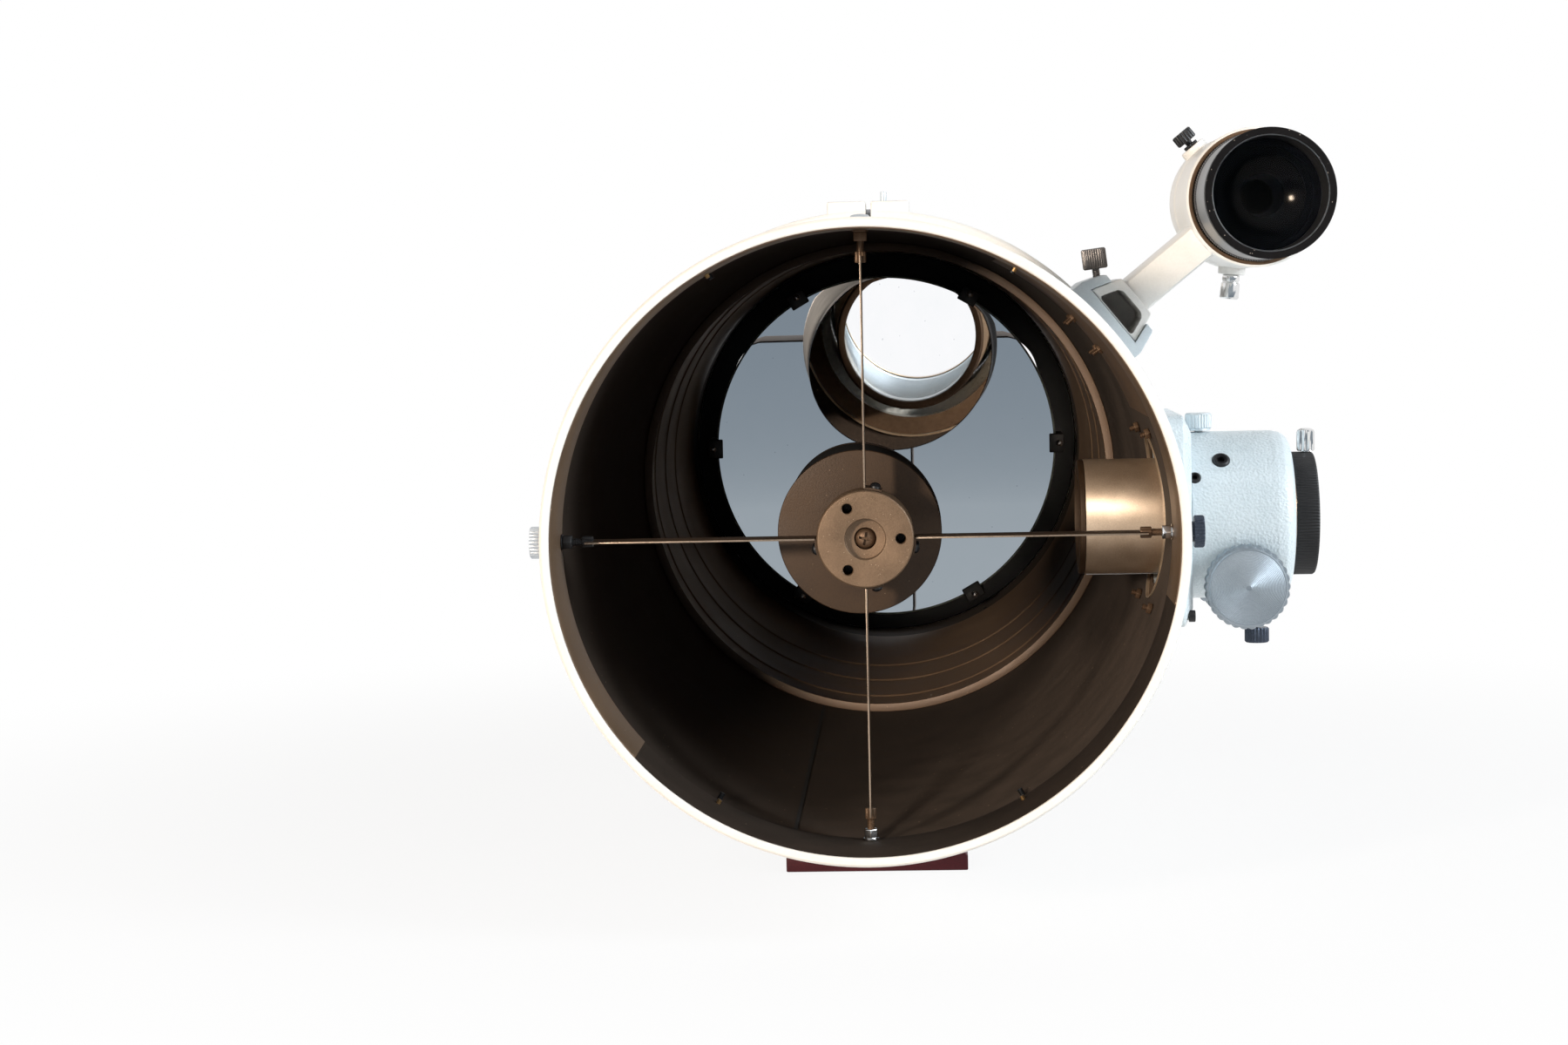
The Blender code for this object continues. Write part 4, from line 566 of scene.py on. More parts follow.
lock_grey = finish("lock_grey", (62, 60, 60), (92, 89, 87), (0.3, 0.42), metallic=0.8,
                   scale=900, bump=0.08)
# Dark slate for the tension knob; also the painted shade on the spider's right knob.
slate_and_shade = finish("slate_and_shade", (46, 52, 64), (74, 82, 96), (0.28, 0.40), metallic=0.6,
               scale=1200, bump=0.12, specks=((190, 200, 215), 1200.0, 0.03))
red_anodised = finish("red_anodised", (50, 11, 15), (68, 15, 21), (0.34, 0.46),
                      metallic=0.3, scale=900, specular=0.3)
rubber = finish("matt_rubber", (22, 22, 23), (34, 34, 35), (0.70, 0.82), scale=1500, bump=0.16,
                specular=0.25)

# Glass
silver_coat = finish("silver_coat", (250, 251, 252), (253, 253, 254), (0.0, 0.008),
                     metallic=1.0, scale=60, bump=0.0, specks=((226, 228, 230), 420.0, 0.006))
mirror_glass = finish("mirror_glass", (150, 166, 160), (178, 192, 186), (0.30, 0.45),
                      scale=600, bump=0.10)
clear_lens = lens_glass()


# Tube and end rings


RING_SCREWS = (60, 120, 240, 300)
PORT_RADIUS = 0.0414
SKIN_ENDS = (0.0043, 0.9613)
RING_LENGTH = 0.0620
COLLAR_LENGTH = 0.0500
COLLAR_OUTSIDE = 0.1454


def wall_screw(angle, depth, length):
    """A small round-headed screw through a ring and the tube's wall, head outwards."""
    size, head = 0.0026, 0.0012
    outwards = round_the_tube(angle)
    dome = turned([(0, 0), (size, 0), (size, head * 0.4), (size * 0.8, head * 0.8), (size * 0.35, head),
                   (0, head)], 32, 0.0001)
    dome = socketed(dome, size * 0.9, head * 0.45, head * 2)
    shank = rod(size * 0.5, -length, 0.0002, 24)
    return placed(joined([dome, shank]), aim(at(0, depth, 0) + outwards * 0.1491, outwards))


def build_wall():
    for name, inner, outer, paint, node in (("tube_skin", 0.14625, 0.1467, gloss_white, "main_tube"),
                                            ("tube_lining", LINING_RADIUS, 0.1462, flock_and_shade, None)):
        wall = placed(tube(inner, outer, *SKIN_ENDS, WIDE, 0), TUBE)
        port = placed(rod(PORT_RADIUS, 0.100, 0.170, 96), FOCUSER)
        add(name, carve(wall, [port]), paint, node=node)
    seam = bar((-0.0003, -0.0009, 0.052), (0.0002, 0.0009, 0.490), 0)
    add("lining_seam", placed(seam, tube_spot(LINING_RADIUS, 255.5)), rubber)
    backing = turned([(0.1451, COLLAR_LENGTH), (0.1456, COLLAR_LENGTH), (0.1456, 0.1985), (0.1451, 0.1985)],
                     40, 0, radians(42))
    add("shoe_backing", placed(backing, around(63.4)), warm_lit_lining)
    # Painted light: the deep wall behind the baffle gets a sheet of the brown copy, standing for the warm
    # light that reaches it.
    deep = tube(0.1450, 0.1456, 0.5040, 0.9020, WIDE, 0)
    add("lit_deep_lining", placed(deep, TUBE), warm_lit_lining)
    for number, depth in enumerate((0.560, 0.640, 0.720), 1):
        hoop = turned([(0.1449, depth), (0.1449, depth + 0.012), (0.1442, depth + 0.010),
                       (0.1442, depth + 0.002)], WIDE, 0.0003)
        add(f"lining_hoop_{number}", placed(hoop, TUBE), warm_lit_lining)


def build_rings():
    rim = [(0.1446, 0.0005), (0.1452, 0.0), (0.1480, 0.0), (RING_RADIUS, 0.0014),
           (RING_RADIUS, RING_LENGTH), (SADDLE_RADIUS, RING_LENGTH), (SADDLE_RADIUS, 0.0040),
           (0.1446, 0.0040)]
    # The front ring takes the dimmer white copy, as painted shade.
    add("front_ring", placed(turned(rim, WIDE, 0.0003), TUBE), dimmed_rim_white, node="front_end_ring")
    # The collar is one black paint: its lit arc takes the tan copy as painted warm light, and its lower arc
    # the dark flock as painted shade.
    for name, inner, end, sweep, paint in (("lit_collar", 0.1441, 222, 234, warm_lit_collar_paint),
                                           ("shaded_collar", 0.1443, 348, 126, flock_and_shade)):
        band = [(inner, 0.0012), (0.1446, 0.0012), (0.1446, 0.0041), (COLLAR_OUTSIDE, 0.0043),
                (COLLAR_OUTSIDE, COLLAR_LENGTH), (inner, COLLAR_LENGTH)]
        strip = turned(band, round(sweep / 2), 0.0002, radians(sweep))
        add(name, placed(strip, around(end)), paint)
    for number, angle in enumerate(RING_SCREWS, 1):
        add(f"ring_screw_{number}", wall_screw(angle, 0.0560, 0.0075), black)
        tip = aim(at(0, 0.040, 0) + round_the_tube(angle) * 0.1444, -round_the_tube(angle))
        add(f"ring_screw_tip_{number}", placed(threaded(0.0012, -0.0002, 0.0022), tip), brass)

    back = [(SADDLE_RADIUS, 0.9046), (RING_RADIUS, 0.9046), (RING_RADIUS, 0.9684), (0.1480, 0.9696),
            (0.1372, 0.9696), (0.1372, 0.9616), (SADDLE_RADIUS, 0.9616)]
    add("rear_ring", placed(turned(back, WIDE, 0.0004), TUBE), cast_white, node="rear_end_ring")
    for number, angle in enumerate(RING_SCREWS, 1):
        add(f"rear_screw_{number}", wall_screw(angle, 0.9150, 0.0040), black)
    baffle = [(0.1454, 0.4930), (0.1454, 0.5030), (0.1442, 0.5030), (0.1442, 0.4944), (0.1404, 0.4942),
              (0.1404, 0.4930)]
    add("baffle", placed(turned(baffle, WIDE, 0.0003), TUBE), dim_black_warm_lit, node="baffle_ring")


# Primary mirror and its cell


MIRROR_RADIUS = 0.127
MIRROR_FACE = 0.89403
COAT_RADIUS = 0.1255
TILT_CIRCLE = 0.100
TILT_ANGLES = (90, 210, 330)
CELL_FACE = 0.9533
CELL_BACK = 0.9613
CLIP_FRONT = 0.8864
KNOB_FACE = 0.9616


def dish(radius):
    """The depth of the primary's face at a radius, for a focal length of one metre."""
    return MIRROR_FACE - radius ** 2 / 4


def build_mirror():
    face = [(radius, dish(radius)) for radius in (COAT_RADIUS * i / 40 for i in range(41))]
    coat = [(radius, depth + 0.0002) for radius, depth in reversed(face)]
    add("mirror_coat", placed(turned(face + coat, WIDE), TUBE), silver_coat, "mirror")
    body = [(radius, depth + 0.0003) for radius, depth in face[::4]]
    edge = [(MIRROR_RADIUS, dish(MIRROR_RADIUS) + 0.0018), (MIRROR_RADIUS, 0.9252), (0.1262, 0.9260),
            (0, 0.9260)]
    add("mirror_blank", placed(turned(body + edge, WIDE), TUBE), mirror_glass, "mirror", "primary_mirror")

    shapes = [placed(tube(0.030, 0.118, 0.9263, 0.9343, WIDE, 0.0006), TUBE)]
    outline = [(0.113, 0.9333), (0.1332, 0.9333), (0.1332, CLIP_FRONT), (0.1222, CLIP_FRONT),
               (0.1222, 0.8894), (0.1282, 0.8894), (0.1282, 0.9273), (0.113, 0.9273)]
    sixths = [TUBE @ Matrix.Rotation(pi * i / 3, 4, "Z") for i in range(6)]
    for turn in sixths:
        shapes.append(placed(run(outline, -0.007, 0.007, 0.0007), turn @ FRONTWARD))
    add("mirror_clips", joined(shapes), black, "mirror", "mirror_carrier")
    for number, turn in enumerate(sixths, 1):
        spot = turn @ Matrix.Translation((0.1296, 0, CLIP_FRONT))
        head = turned([(0, 0), (0.0024, 0), (0.0024, -0.0008), (0.0012, -0.0016), (0, -0.0017)], 28)
        add(f"clip_screw_{number}", placed(head, spot), steel, "mirror")


def build_cell():
    ring = tube(0.048, 0.1447, CELL_FACE, CELL_BACK, WIDE, 0.0008)
    holes = []
    for angle in TILT_ANGLES:
        holes.append(placed(rod(0.0036, 0.94, 0.98, 32), tube_spot(TILT_CIRCLE, angle)))
        holes.append(placed(rod(0.030, 0.94, 0.98, 72), tube_spot(TILT_CIRCLE, angle + 60)))
    add("cell_plate", carve(placed(ring, TUBE), holes), black, node="mirror_cell")
    for number, angle in enumerate(TILT_ANGLES, 1):
        spot = tube_spot(TILT_CIRCLE, angle)
        shank = threaded(0.003, 0.9293, KNOB_FACE, 0.001)
        head = knurled(0.011, KNOB_FACE, 0.9746, 40, 0.0006, 0.0009, 0.0012)
        add_mover(f"tilt_knob_{number}", placed(joined([shank, head]), spot), satin_and_highlight,
                  f"collimation_knob_{number}")
        wound = coil(0.0058, 0.0008, 0.9354, 0.9522, 4)
        spring = add(f"tilt_spring_{number}", placed(wound, spot), steel, node=f"mirror_spring_{number}")
        if number == 1:
            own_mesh(spring)


# Spider and secondary


GRUB_CIRCLE = 0.0166
GRUB_ANGLES = (0, 120, 240)
VANE_DEPTH = 0.0448
VANE_START = 0.0236
VANE_END = 0.1320
FOOT_SWEEP = 20
VANES = {"right": (0, 1), "top": (90, 1), "left": (180, -1), "bottom": (270, -1)}
NUT_FINISH = {"right": chrome, "top": fittings_black_warm_lit, "left": black, "bottom": chrome}


def build_hub():
    face = [(0.0052, 0.0362), (0.0094, 0.0362), (0.0094, 0.0316), (0.0098, 0.0310), (0.0221, 0.0310),
            (0.0228, 0.0317), (0.0228, 0.0560), (0.0036, 0.0560), (0.0036, 0.0410), (0.0052, 0.0410)]
    holes = []
    for angle in GRUB_ANGLES:
        sunk = turned([(0, 0.02), (0.0044, 0.0290), (0.0024, 0.0314), (0.0024, 0.07), (0, 0.07)], 40)
        holes.append(placed(sunk, tube_spot(GRUB_CIRCLE, angle)))
    hub = carve(placed(turned(face, 128, 0.0002), TUBE), holes)
    add("hub", hub, hub_black_warm_lit, node="spider_hub")
    for angle in GRUB_ANGLES:
        grub = socketed(rod(0.0023, 0.0450, 0.0760, 28, 0.0003), 0.0022, 0.03, 0.0475)
        add(f"hub_grub_{angle}", placed(grub, tube_spot(GRUB_CIRCLE, angle)), black)

    dome = [(0, 0.0352), (0.0020, 0.0354), (0.0038, 0.0362), (0.0047, 0.0374), (0.0050, 0.0388),
            (0.0050, 0.0398), (0.0030, 0.0398), (0.0030, 0.0920), (0, 0.0920)]
    reach, half, floor = 0.0031, 0.00055, 0.0378
    cross = [bar((-reach, -half, 0.03), (reach, half, floor), 0),
             bar((-half, -reach, 0.03), (half, reach, floor), 0)]
    slots = [placed(shape, Matrix.Rotation(radians(12), 4, "Z")) for shape in cross]
    add("centre_bolt", placed(carve(turned(dome, SMALL), slots), TUBE), fittings_black_warm_lit,
        node="secondary_bolt")


def build_vane(name, angle, side):
    """One vane with its foot on the hub, the two screws in the foot, and its stud, nut and knob."""
    along = aim(at(0, VANE_DEPTH, 0), round_the_tube(angle))
    strip = bar((-0.00035, -0.0097, VANE_START), (0.00035, 0.0100, VANE_END), 0.0001)
    foot = turned([(0.0230, 0.0350), (0.0239, 0.0350), (0.0239, 0.0546), (0.0230, 0.0546)], 10, 0,
                  radians(FOOT_SWEEP))
    foot = placed(foot, around(angle if side > 0 else angle + FOOT_SWEEP))
    add(f"vane_{name}", joined([placed(strip, along), foot]), dim_black_warm_lit, node=f"spider_vane_{name}")
    # Painted highlight: a bright strip on the vane's front edge stands for the light that edge catches.
    edge = bar((-0.0004, -0.0102, VANE_START), (0.0004, -0.0097, VANE_END), 0.0001)
    add(f"vane_edge_highlight_{name}", placed(edge, along), edge_highlight_steel)
    there = round_the_tube(angle - side * 12)
    for share, depth in enumerate((0.0395, 0.0500), 1):
        pan = turned([(0, 0), (0.0026, 0), (0.0025, 0.0009), (0.0017, 0.0017), (0.0006, 0.0021),
                      (0, 0.0021)], 28)
        slot_cut = bar((-0.003, -0.0003, 0.0015), (0.003, 0.0003, 0.003), 0)
        spot = aim(at(0, depth, 0) + there * 0.0238, there)
        add(f"vane_screw_{name}_{share}", placed(carve(pan, [slot_cut]), spot), black)

    flat_knob = name in ("top", "bottom")
    sleeve = knurled(0.0027, 0.1288, 0.1340, 14, 0.0003, 0.0003)
    neck = threaded(0.0018, 0.1336, 0.1498 if flat_knob else 0.1572)
    add(f"stud_{name}", placed(joined([sleeve, neck]), along), black if name == "left" else fittings_black_warm_lit)
    nut = hexagon(0.0062, 0.1388, 0.1432, 0.0004)
    washer = tube(0.0020, 0.0038, 0.1433, 0.1440, 40, 0.0001)
    add(f"stud_nut_{name}", placed(joined([nut, washer]), along), NUT_FINISH[name])
    if flat_knob:
        dome = [(0.0026, 0.1495), (0.0048, 0.1495), (0.0048, 0.1501), (0.0040, 0.1510), (0.0020, 0.1515),
                (0, 0.1515), (0, 0.1500), (0.0026, 0.1500)]
        knob = turned(dome, SMALL, 0.0001)
    else:
        knob = joined([tube(0.0026, 0.0048, 0.1495, 0.1540, SMALL, 0.0003),
                       knurled(0.0076, 0.1537, 0.1585, 30, 0.0005, 0.0005, 0.0006)])
    # Painted shade: the right knob takes the dark slate finish where the others take satin, for the shade
    # and dark reflection on that side.
    add_mover(f"vane_knob_{name}", placed(knob, along), slate_and_shade if name == "right" else satin_and_highlight,
              f"spider_knob_{name}")


def build_secondary():
    offset = -0.0034
    across = Matrix.Translation((offset, 0, 0))
    slant = Vector((1, 0, 1)).normalized()

    def slice_of(radius, low, far, near=None):
        """A rod along the tube, cut at 45 degrees on its far side and, if asked, on its near side."""
        shape = cut_flat(placed(rod(radius, low, 0.24, 128), across), (offset, 0, far), slant)
        if near:
            shape = cut_flat(shape, (offset, 0, near), -slant)
        return placed(shape, TUBE)

    cap = placed(rod(0.0395, 0.0760, 0.0800, 128, 0.0006), across)
    add("holder_cap", placed(cap, TUBE), dim_black_warm_lit, "secondary")
    add("holder", slice_of(0.0394, 0.0801, 0.14067), rubber, "secondary", "secondary_holder")
    add("secondary_blank", slice_of(0.0395, 0.04, 0.1519, 0.14109), dim_black_warm_lit, "secondary",
        "secondary_mirror")
    add("secondary_coat", slice_of(0.0391, 0.04, 0.1524, 0.1520), silver_coat, "secondary")


# Focuser


FOCUSER_AXIS = Matrix.Translation(at(0, FOCUSER_DEPTH, 0))
SHAFT_SPOT = Matrix.Translation(at(SHAFT_X, FOCUSER_DEPTH, 0))
SHAFT = Matrix.Translation(SHAFT_POINT) @ TUBEWARD
TENSION_X = SHAFT_X + 0.0095
LOCK_X = 0.1658
CLAMP_X = 0.2192
BODY_RADIUS = 0.0418
NUT_HEIGHT = 0.0435
CORNER = 0.0462
DRAWTUBE_BORE = 0.0256
DRAWTUBE_END = 0.2158


def rounded_square(side, corner, steps=6):
    reach = side / 2 - corner
    outline = []
    for quarter in range(4):
        start = quarter * pi / 2
        centre = Vector((cos(start + pi / 4), sin(start + pi / 4))) * reach * sqrt(2)
        for i in range(steps + 1):
            turn = start + pi / 2 * i / steps
            outline.append((centre.x + corner * cos(turn), centre.y + corner * sin(turn)))
    return outline


def wall_ring(inner, outer, facets, wall_inner, wall_outer):
    """A ring round the focuser's port, kept only where it lies in a layer of the tube's wall."""
    ring = placed(tube(inner, outer, 0.120, 0.150, facets, 0), FOCUSER)
    layer = placed(tube(wall_inner, wall_outer, 0.09, 0.21, WIDE, 0), TUBE)
    return carve(ring, [layer], "INTERSECT")


def build_focuser_base():
    plate = run(rounded_square(0.104, 0.010), 0.1120, 0.1543)
    top = [face for face in plate.faces if all(vert.co.z > 0.154 for vert in face.verts)]
    bmesh.ops.inset_region(plate, faces=top, thickness=0.009, depth=0.0)
    raised = list({vert for face in top for vert in face.verts})
    bmesh.ops.translate(plate, vec=(0, 0, 0.0042), verts=raised)
    eased(plate, 0.0012, lambda edge: min(vert.co.z for vert in edge.verts) > 0.150)
    saddle = placed(rod(SADDLE_RADIUS, 0.04, 0.26, WIDE), TUBE)
    throat = placed(rod(0.0344, 0.08, 0.18, 96), FOCUSER)
    flange = carve(placed(plate, FOCUSER), [saddle, throat])
    add("focuser_flange", flange, hammered_cool_lit, node="focuser_base")

    port_edge = wall_ring(0.0407, PORT_RADIUS, 120, 0.1449, 0.1468)
    add("port_edge", port_edge, edge_metal_warm_lit)
    port_seat = wall_ring(0.0342, 0.0406, 96, 0.1464, 0.1469)
    add("port_seat", port_seat, warm_lit_collar_paint)
    corners = [(depth, z) for depth in (0.112, 0.186) for z in (NUT_HEIGHT, -NUT_HEIGHT)]
    for number, (depth, z) in enumerate(corners, 1):
        inwards = Vector((-sqrt(LINING_RADIUS ** 2 - z ** 2), 0, -z)).normalized()
        spot = aim(at(0, depth, 0) - inwards * 0.1456, inwards)
        nut = joined([hexagon(0.0050, 0.0004, 0.0028), threaded(0.0014, 0.0, 0.0052)])
        add(f"base_nut_{number}", placed(nut, spot), fittings_black_warm_lit)
    for number, (side, z) in enumerate(((-1, -1), (1, 1), (1, -1)), 1):
        corner = at(0.1560, FOCUSER_DEPTH + side * CORNER, z * CORNER)
        cap = socketed(rod(0.0029, 0, 0.0032, 36, 0.0004), 0.0030, 0.0016, 0.006)
        add(f"base_screw_{number}", placed(cap, Matrix.Translation(corner) @ SIDEWARD), black)


def build_focuser_body():
    body = turned([(0.03055, 0.1588), (BODY_RADIUS, 0.1588), (BODY_RADIUS, 0.2013), (0.0410, 0.2055),
                   (0.0390, 0.2085), (0.0360, 0.2100), (0.0328, 0.2103), (0.03055, 0.2103)], BROAD, 0.0006)
    cuts = [placed(bar((-0.0138, -0.0163, -0.09), (0.0138, 0.0163, -0.0333), 0), SHAFT_SPOT),
            placed(rod(0.0024, 0.02, 0.06, 32), aim(at(LOCK_X, FOCUSER_DEPTH, 0), UP))]
    screws = []
    for x, angle, radius in ((0.1740, 44, 0.0043), (0.1606, 30, 0.0029), (0.1800, 137, 0.0043)):
        outwards = Vector((0, -cos(radians(angle)), sin(radians(angle))))
        spot = Matrix.Translation(at(x, FOCUSER_DEPTH, 0) + outwards * BODY_RADIUS)
        spot = spot @ axes(ACROSS, outwards.cross(ACROSS), outwards)
        screw = turned([(0, -0.005), (radius, -0.005), (radius, 0.0002), (radius * 0.8, 0.0011),
                        (radius * 0.62, 0.0011), (radius * 0.55, 0.0004), (0, 0.0004)], SMALL)
        screws.append(placed(socketed(screw, radius * 0.86, -0.0022, 0.003), spot))
        cuts.append(placed(rod(radius + 0.0002, -0.006, 0.01, SMALL), spot))
    barrel = carve(placed(body, FOCUSER), cuts)
    add("focuser_barrel", barrel, hammered_cool_lit, node="focuser_body")
    for number, screw in enumerate(screws, 1):
        add(f"set_screw_{number}", screw, black)


def build_drive():
    block = placed(bar((-0.0135, -0.016, -0.0448), (0.0135, 0.016, -0.03365), 0.0010), SHAFT_SPOT)
    groove = placed(rod(0.0033, -0.04, 0.04), SHAFT)
    bore = placed(rod(0.0025, 0.0425, 0.06, 32), aim(at(TENSION_X, FOCUSER_DEPTH, 0), -UP))
    add("spring_block", carve(block, [groove, bore]), pale_satin, node="pressure_block")
    for end, shift in (("inner", -0.013), ("outer", 0.013)):
        for side, angle in (("front", -45), ("rear", 45)):
            outwards = Vector((0, sin(radians(angle)), cos(radians(angle))))
            axle = Vector((0, -cos(radians(angle)), sin(radians(angle))))
            spot = Matrix.Translation(at(SHAFT_X + shift, FOCUSER_DEPTH, 0) + outwards * 0.03415)
            wheel = tube(0.0015, 0.005, -0.0025, 0.0025, 64, 0.0004)
            name = f"focuser_roller_{end}_{side}"
            add_mover(f"bearing_{end}_{side}", placed(wheel, spot @ axes(ACROSS, outwards, axle)), chrome,
                      name)

    spindle = rod(0.003, -0.0442, 0.0442, SMALL, 0.0004)
    add("drive_shaft", placed(spindle, SHAFT), chrome, "focus_drive", "focus_shaft")
    for name, turn in (("front", pi), ("rear", 0)):
        rings = [(0.0182 - 0.0003 * i, 0.0001 * (i % 2)) for i in range(58)]
        grooves = [(radius, 0.0133 - radius * 0.0014 / 0.0182 - sunk) for radius, sunk in rings]
        profile = [(0.0032, 0), (0.0184, 0), (0.0194, 0.0005), (0.0200, 0.0014), (0.0200, 0.0076),
                   (0.0196, 0.0084), (0.0190, 0.0086), (0.0187, 0.0090), (0.0187, 0.0099),
                   (0.0190, 0.0103), (0.0190, 0.0113), (0.0186, 0.0118)]
        profile += grooves + [(0, 0.0133), (0, 0.0031), (0.0032, 0.0031)]
        knob = fluted(turned(profile, 360), 30, -0.0008, 0.0003, 0.0085, 0.0193)
        there = SHAFT @ Matrix.Rotation(turn, 4, "X") @ Matrix.Translation((0, 0, 0.04123))
        add(f"focus_wheel_{name}", placed(knob, there), spun, "focus_drive", f"focus_knob_{name}")

    tension = joined([threaded(0.002, 0, 0.0142), knurled(0.0061, 0.0140, 0.0215, 22, 0.0006)])
    add_mover("tension_knob", placed(tension, aim(at(TENSION_X, FOCUSER_DEPTH, -0.0433), -UP)), slate_and_shade,
              "tension_screw")
    lock = joined([threaded(0.002, 0, 0.0134), tube(0.0018, 0.0060, 0.01325, 0.0142, SMALL, 0.0002),
                   knurled(0.0066, 0.0140, 0.02205, 30, 0.0003, 0.0008)])
    add_mover("lock_knob", placed(lock, aim(at(LOCK_X, FOCUSER_DEPTH, 0.02915), UP)), pale_satin,
              "drawtube_lock_screw")


def build_drawtube():
    inner = DRAWTUBE_BORE
    bore = [(inner, 0.1080), (0.0265, 0.1080), (0.0265, DRAWTUBE_END), (inner, DRAWTUBE_END)]
    for i in range(22):
        x = 0.2080 - i * 0.0040
        bore += [(inner, x), (0.0262, x - 0.0006), (0.0262, x - 0.0018), (inner, x - 0.0024)]
    add("drawtube_bore", placed(turned(bore, BROAD), FOCUSER), pale_satin, "focus_tube")
    barrel = tube(0.0266, 0.02885, 0.1078, DRAWTUBE_END, BROAD, 0)
    add("drawtube_barrel", placed(barrel, FOCUSER), drawtube_warm_lit, "focus_tube", "drawtube")
    tip = turned([(0.0258, 0.1047), (0.0281, 0.1047), (0.0288, 0.1053), (0.0288, 0.1074), (0.0285, 0.1077),
                  (0.0258, 0.1077)], BROAD, 0.0001)
    add("drawtube_tip", placed(tip, FOCUSER), dim_black_warm_lit, "focus_tube")
    flat = bar((0.1085, -0.0048, -0.0290), (0.2130, 0.0048, -0.02862), 0.0002)
    add("drive_flat", placed(flat, FOCUSER_AXIS), satin_and_highlight, "focus_tube")

    ring = [(0.02915, 0.2111), (0.0302, 0.2111), (0.0310, 0.2119), (0.0310, 0.2215), (0.0302, 0.2223),
            (0.0262, 0.2223), (inner, 0.2217), (inner, 0.2161), (0.02915, 0.2161)]
    grip = fluted(turned(ring, 640), 128, 0.0006, 0.2113, 0.2221, 0.03095)
    hole = placed(rod(0.0023, 0.02, 0.04, 32), aim(at(CLAMP_X, FOCUSER_DEPTH, 0), UP))
    collar = carve(placed(grip, FOCUSER), [hole])
    add("eyepiece_collar", collar, black, "focus_tube", "eyepiece_clamp_ring")
    band = tube(0.0253, 0.0255, 0.2170, 0.2214, 120, 0)
    add("clamp_band", placed(band, FOCUSER), brass, "focus_tube")
    dome = [(0, 0.0053), (0.0040, 0.0053), (0.0045, 0.0060), (0.0045, 0.0146), (0.0041, 0.0158),
            (0.0028, 0.0166), (0, 0.0169)]
    head = fluted(turned(dome, 96), 12, 0.0007, 0.0058, 0.0152, 0.0044)
    clamp = joined([threaded(0.002, 0, 0.0058), head])
    add_mover("clamp_knob", placed(clamp, aim(at(CLAMP_X, FOCUSER_DEPTH, 0.0259), UP)), chrome,
              "eyepiece_clamp_screw")


# Finder scope, its bracket and shoe


ADJUSTER_DEPTH = 0.230
AIM_ANGLES = {"left": 129, "right": 17}
PLUNGER_ANGLE = 264
AIM_START = 0.0243
LENS_CURVE = 0.036
LENS_FRONT = 0.1128
LENS_HALF = 0.0200
SHOE_SCREW_TIP = Vector((0.118312, -0.248, 0.303426))
SHOE_SCREW_ANGLE = 97


def finder_spot(angle, radius=0.0):
    """A frame out from the finder's axis, at the depth of its aim screws."""
    outwards = round_the_tube(angle)
    return aim(at(FINDER_POINT.x, ADJUSTER_DEPTH, FINDER_POINT.z) + outwards * radius, outwards)


def build_objective():
    cell = [(0.0278, 0.0818), (0.0275, 0.0812), (0.0277, 0.0804), (0.0282, 0.0800), (0.0309, 0.0800),
            (0.0313, 0.0804), (0.0313, 0.0860), (0.0287, 0.0860), (0.0287, 0.0822)]
    add("objective_rim", placed(turned(cell, BROAD), FINDER), dusty_black, "finder_objective",
        "finder_objective_cell")
    # Painted highlight: a thin bright ring at the rim's inner edge stands for the light its bevel catches.
    edge = [(0.0273, 0.0812), (0.0274, 0.0806), (0.0278, 0.0801), (0.0279, 0.0802), (0.0276, 0.0808),
            (0.0275, 0.0812)]
    add("objective_edge_highlight", placed(turned(edge, BROAD), FINDER), satin_and_highlight, "finder_objective")
    sleeve = [(0.0286, 0.0862), (0.0308, 0.0862), (0.0311, 0.0866), (0.0311, 0.1296), (0.0307, 0.1300),
              (0.0279, 0.1300), (0.0279, 0.1030), (0.0286, 0.1024)]
    add("objective_sleeve", placed(turned(sleeve, BROAD), FINDER), barrel_grey, "finder_objective")
    hood = [(0.0278, 0.0824), (0.02855, 0.0824), (0.02855, 0.1014), (0.0278, 0.1026), (0.0278, 0.1062),
            (0.0273, 0.1062)]
    add("lens_hood", placed(turned(hood, BROAD), FINDER), rubber, "finder_objective")
    front = []
    for i in range(25):
        radius = LENS_HALF * i / 24
        front.append((radius, LENS_FRONT - LENS_CURVE + sqrt(LENS_CURVE ** 2 - radius ** 2)))
    front += [(0.0272, front[-1][1]), (0.0272, 0.1138), (0, 0.1138)]
    add("objective_lens", placed(turned(front, 128), FINDER), clear_lens, "finder_objective",
        "finder_objective_lens")
    ring = [(0.0279, 0.1305), (0.0312, 0.1305), (0.0318, 0.1311), (0.0318, 0.1359), (0.0312, 0.1365),
            (0.0279, 0.1365)]
    grip = fluted(turned(ring, 640), 160, 0.0004, 0.1308, 0.1362, 0.03175)
    add_mover("lock_ring", placed(grip, FINDER), lock_grey, "finder_lock_ring")


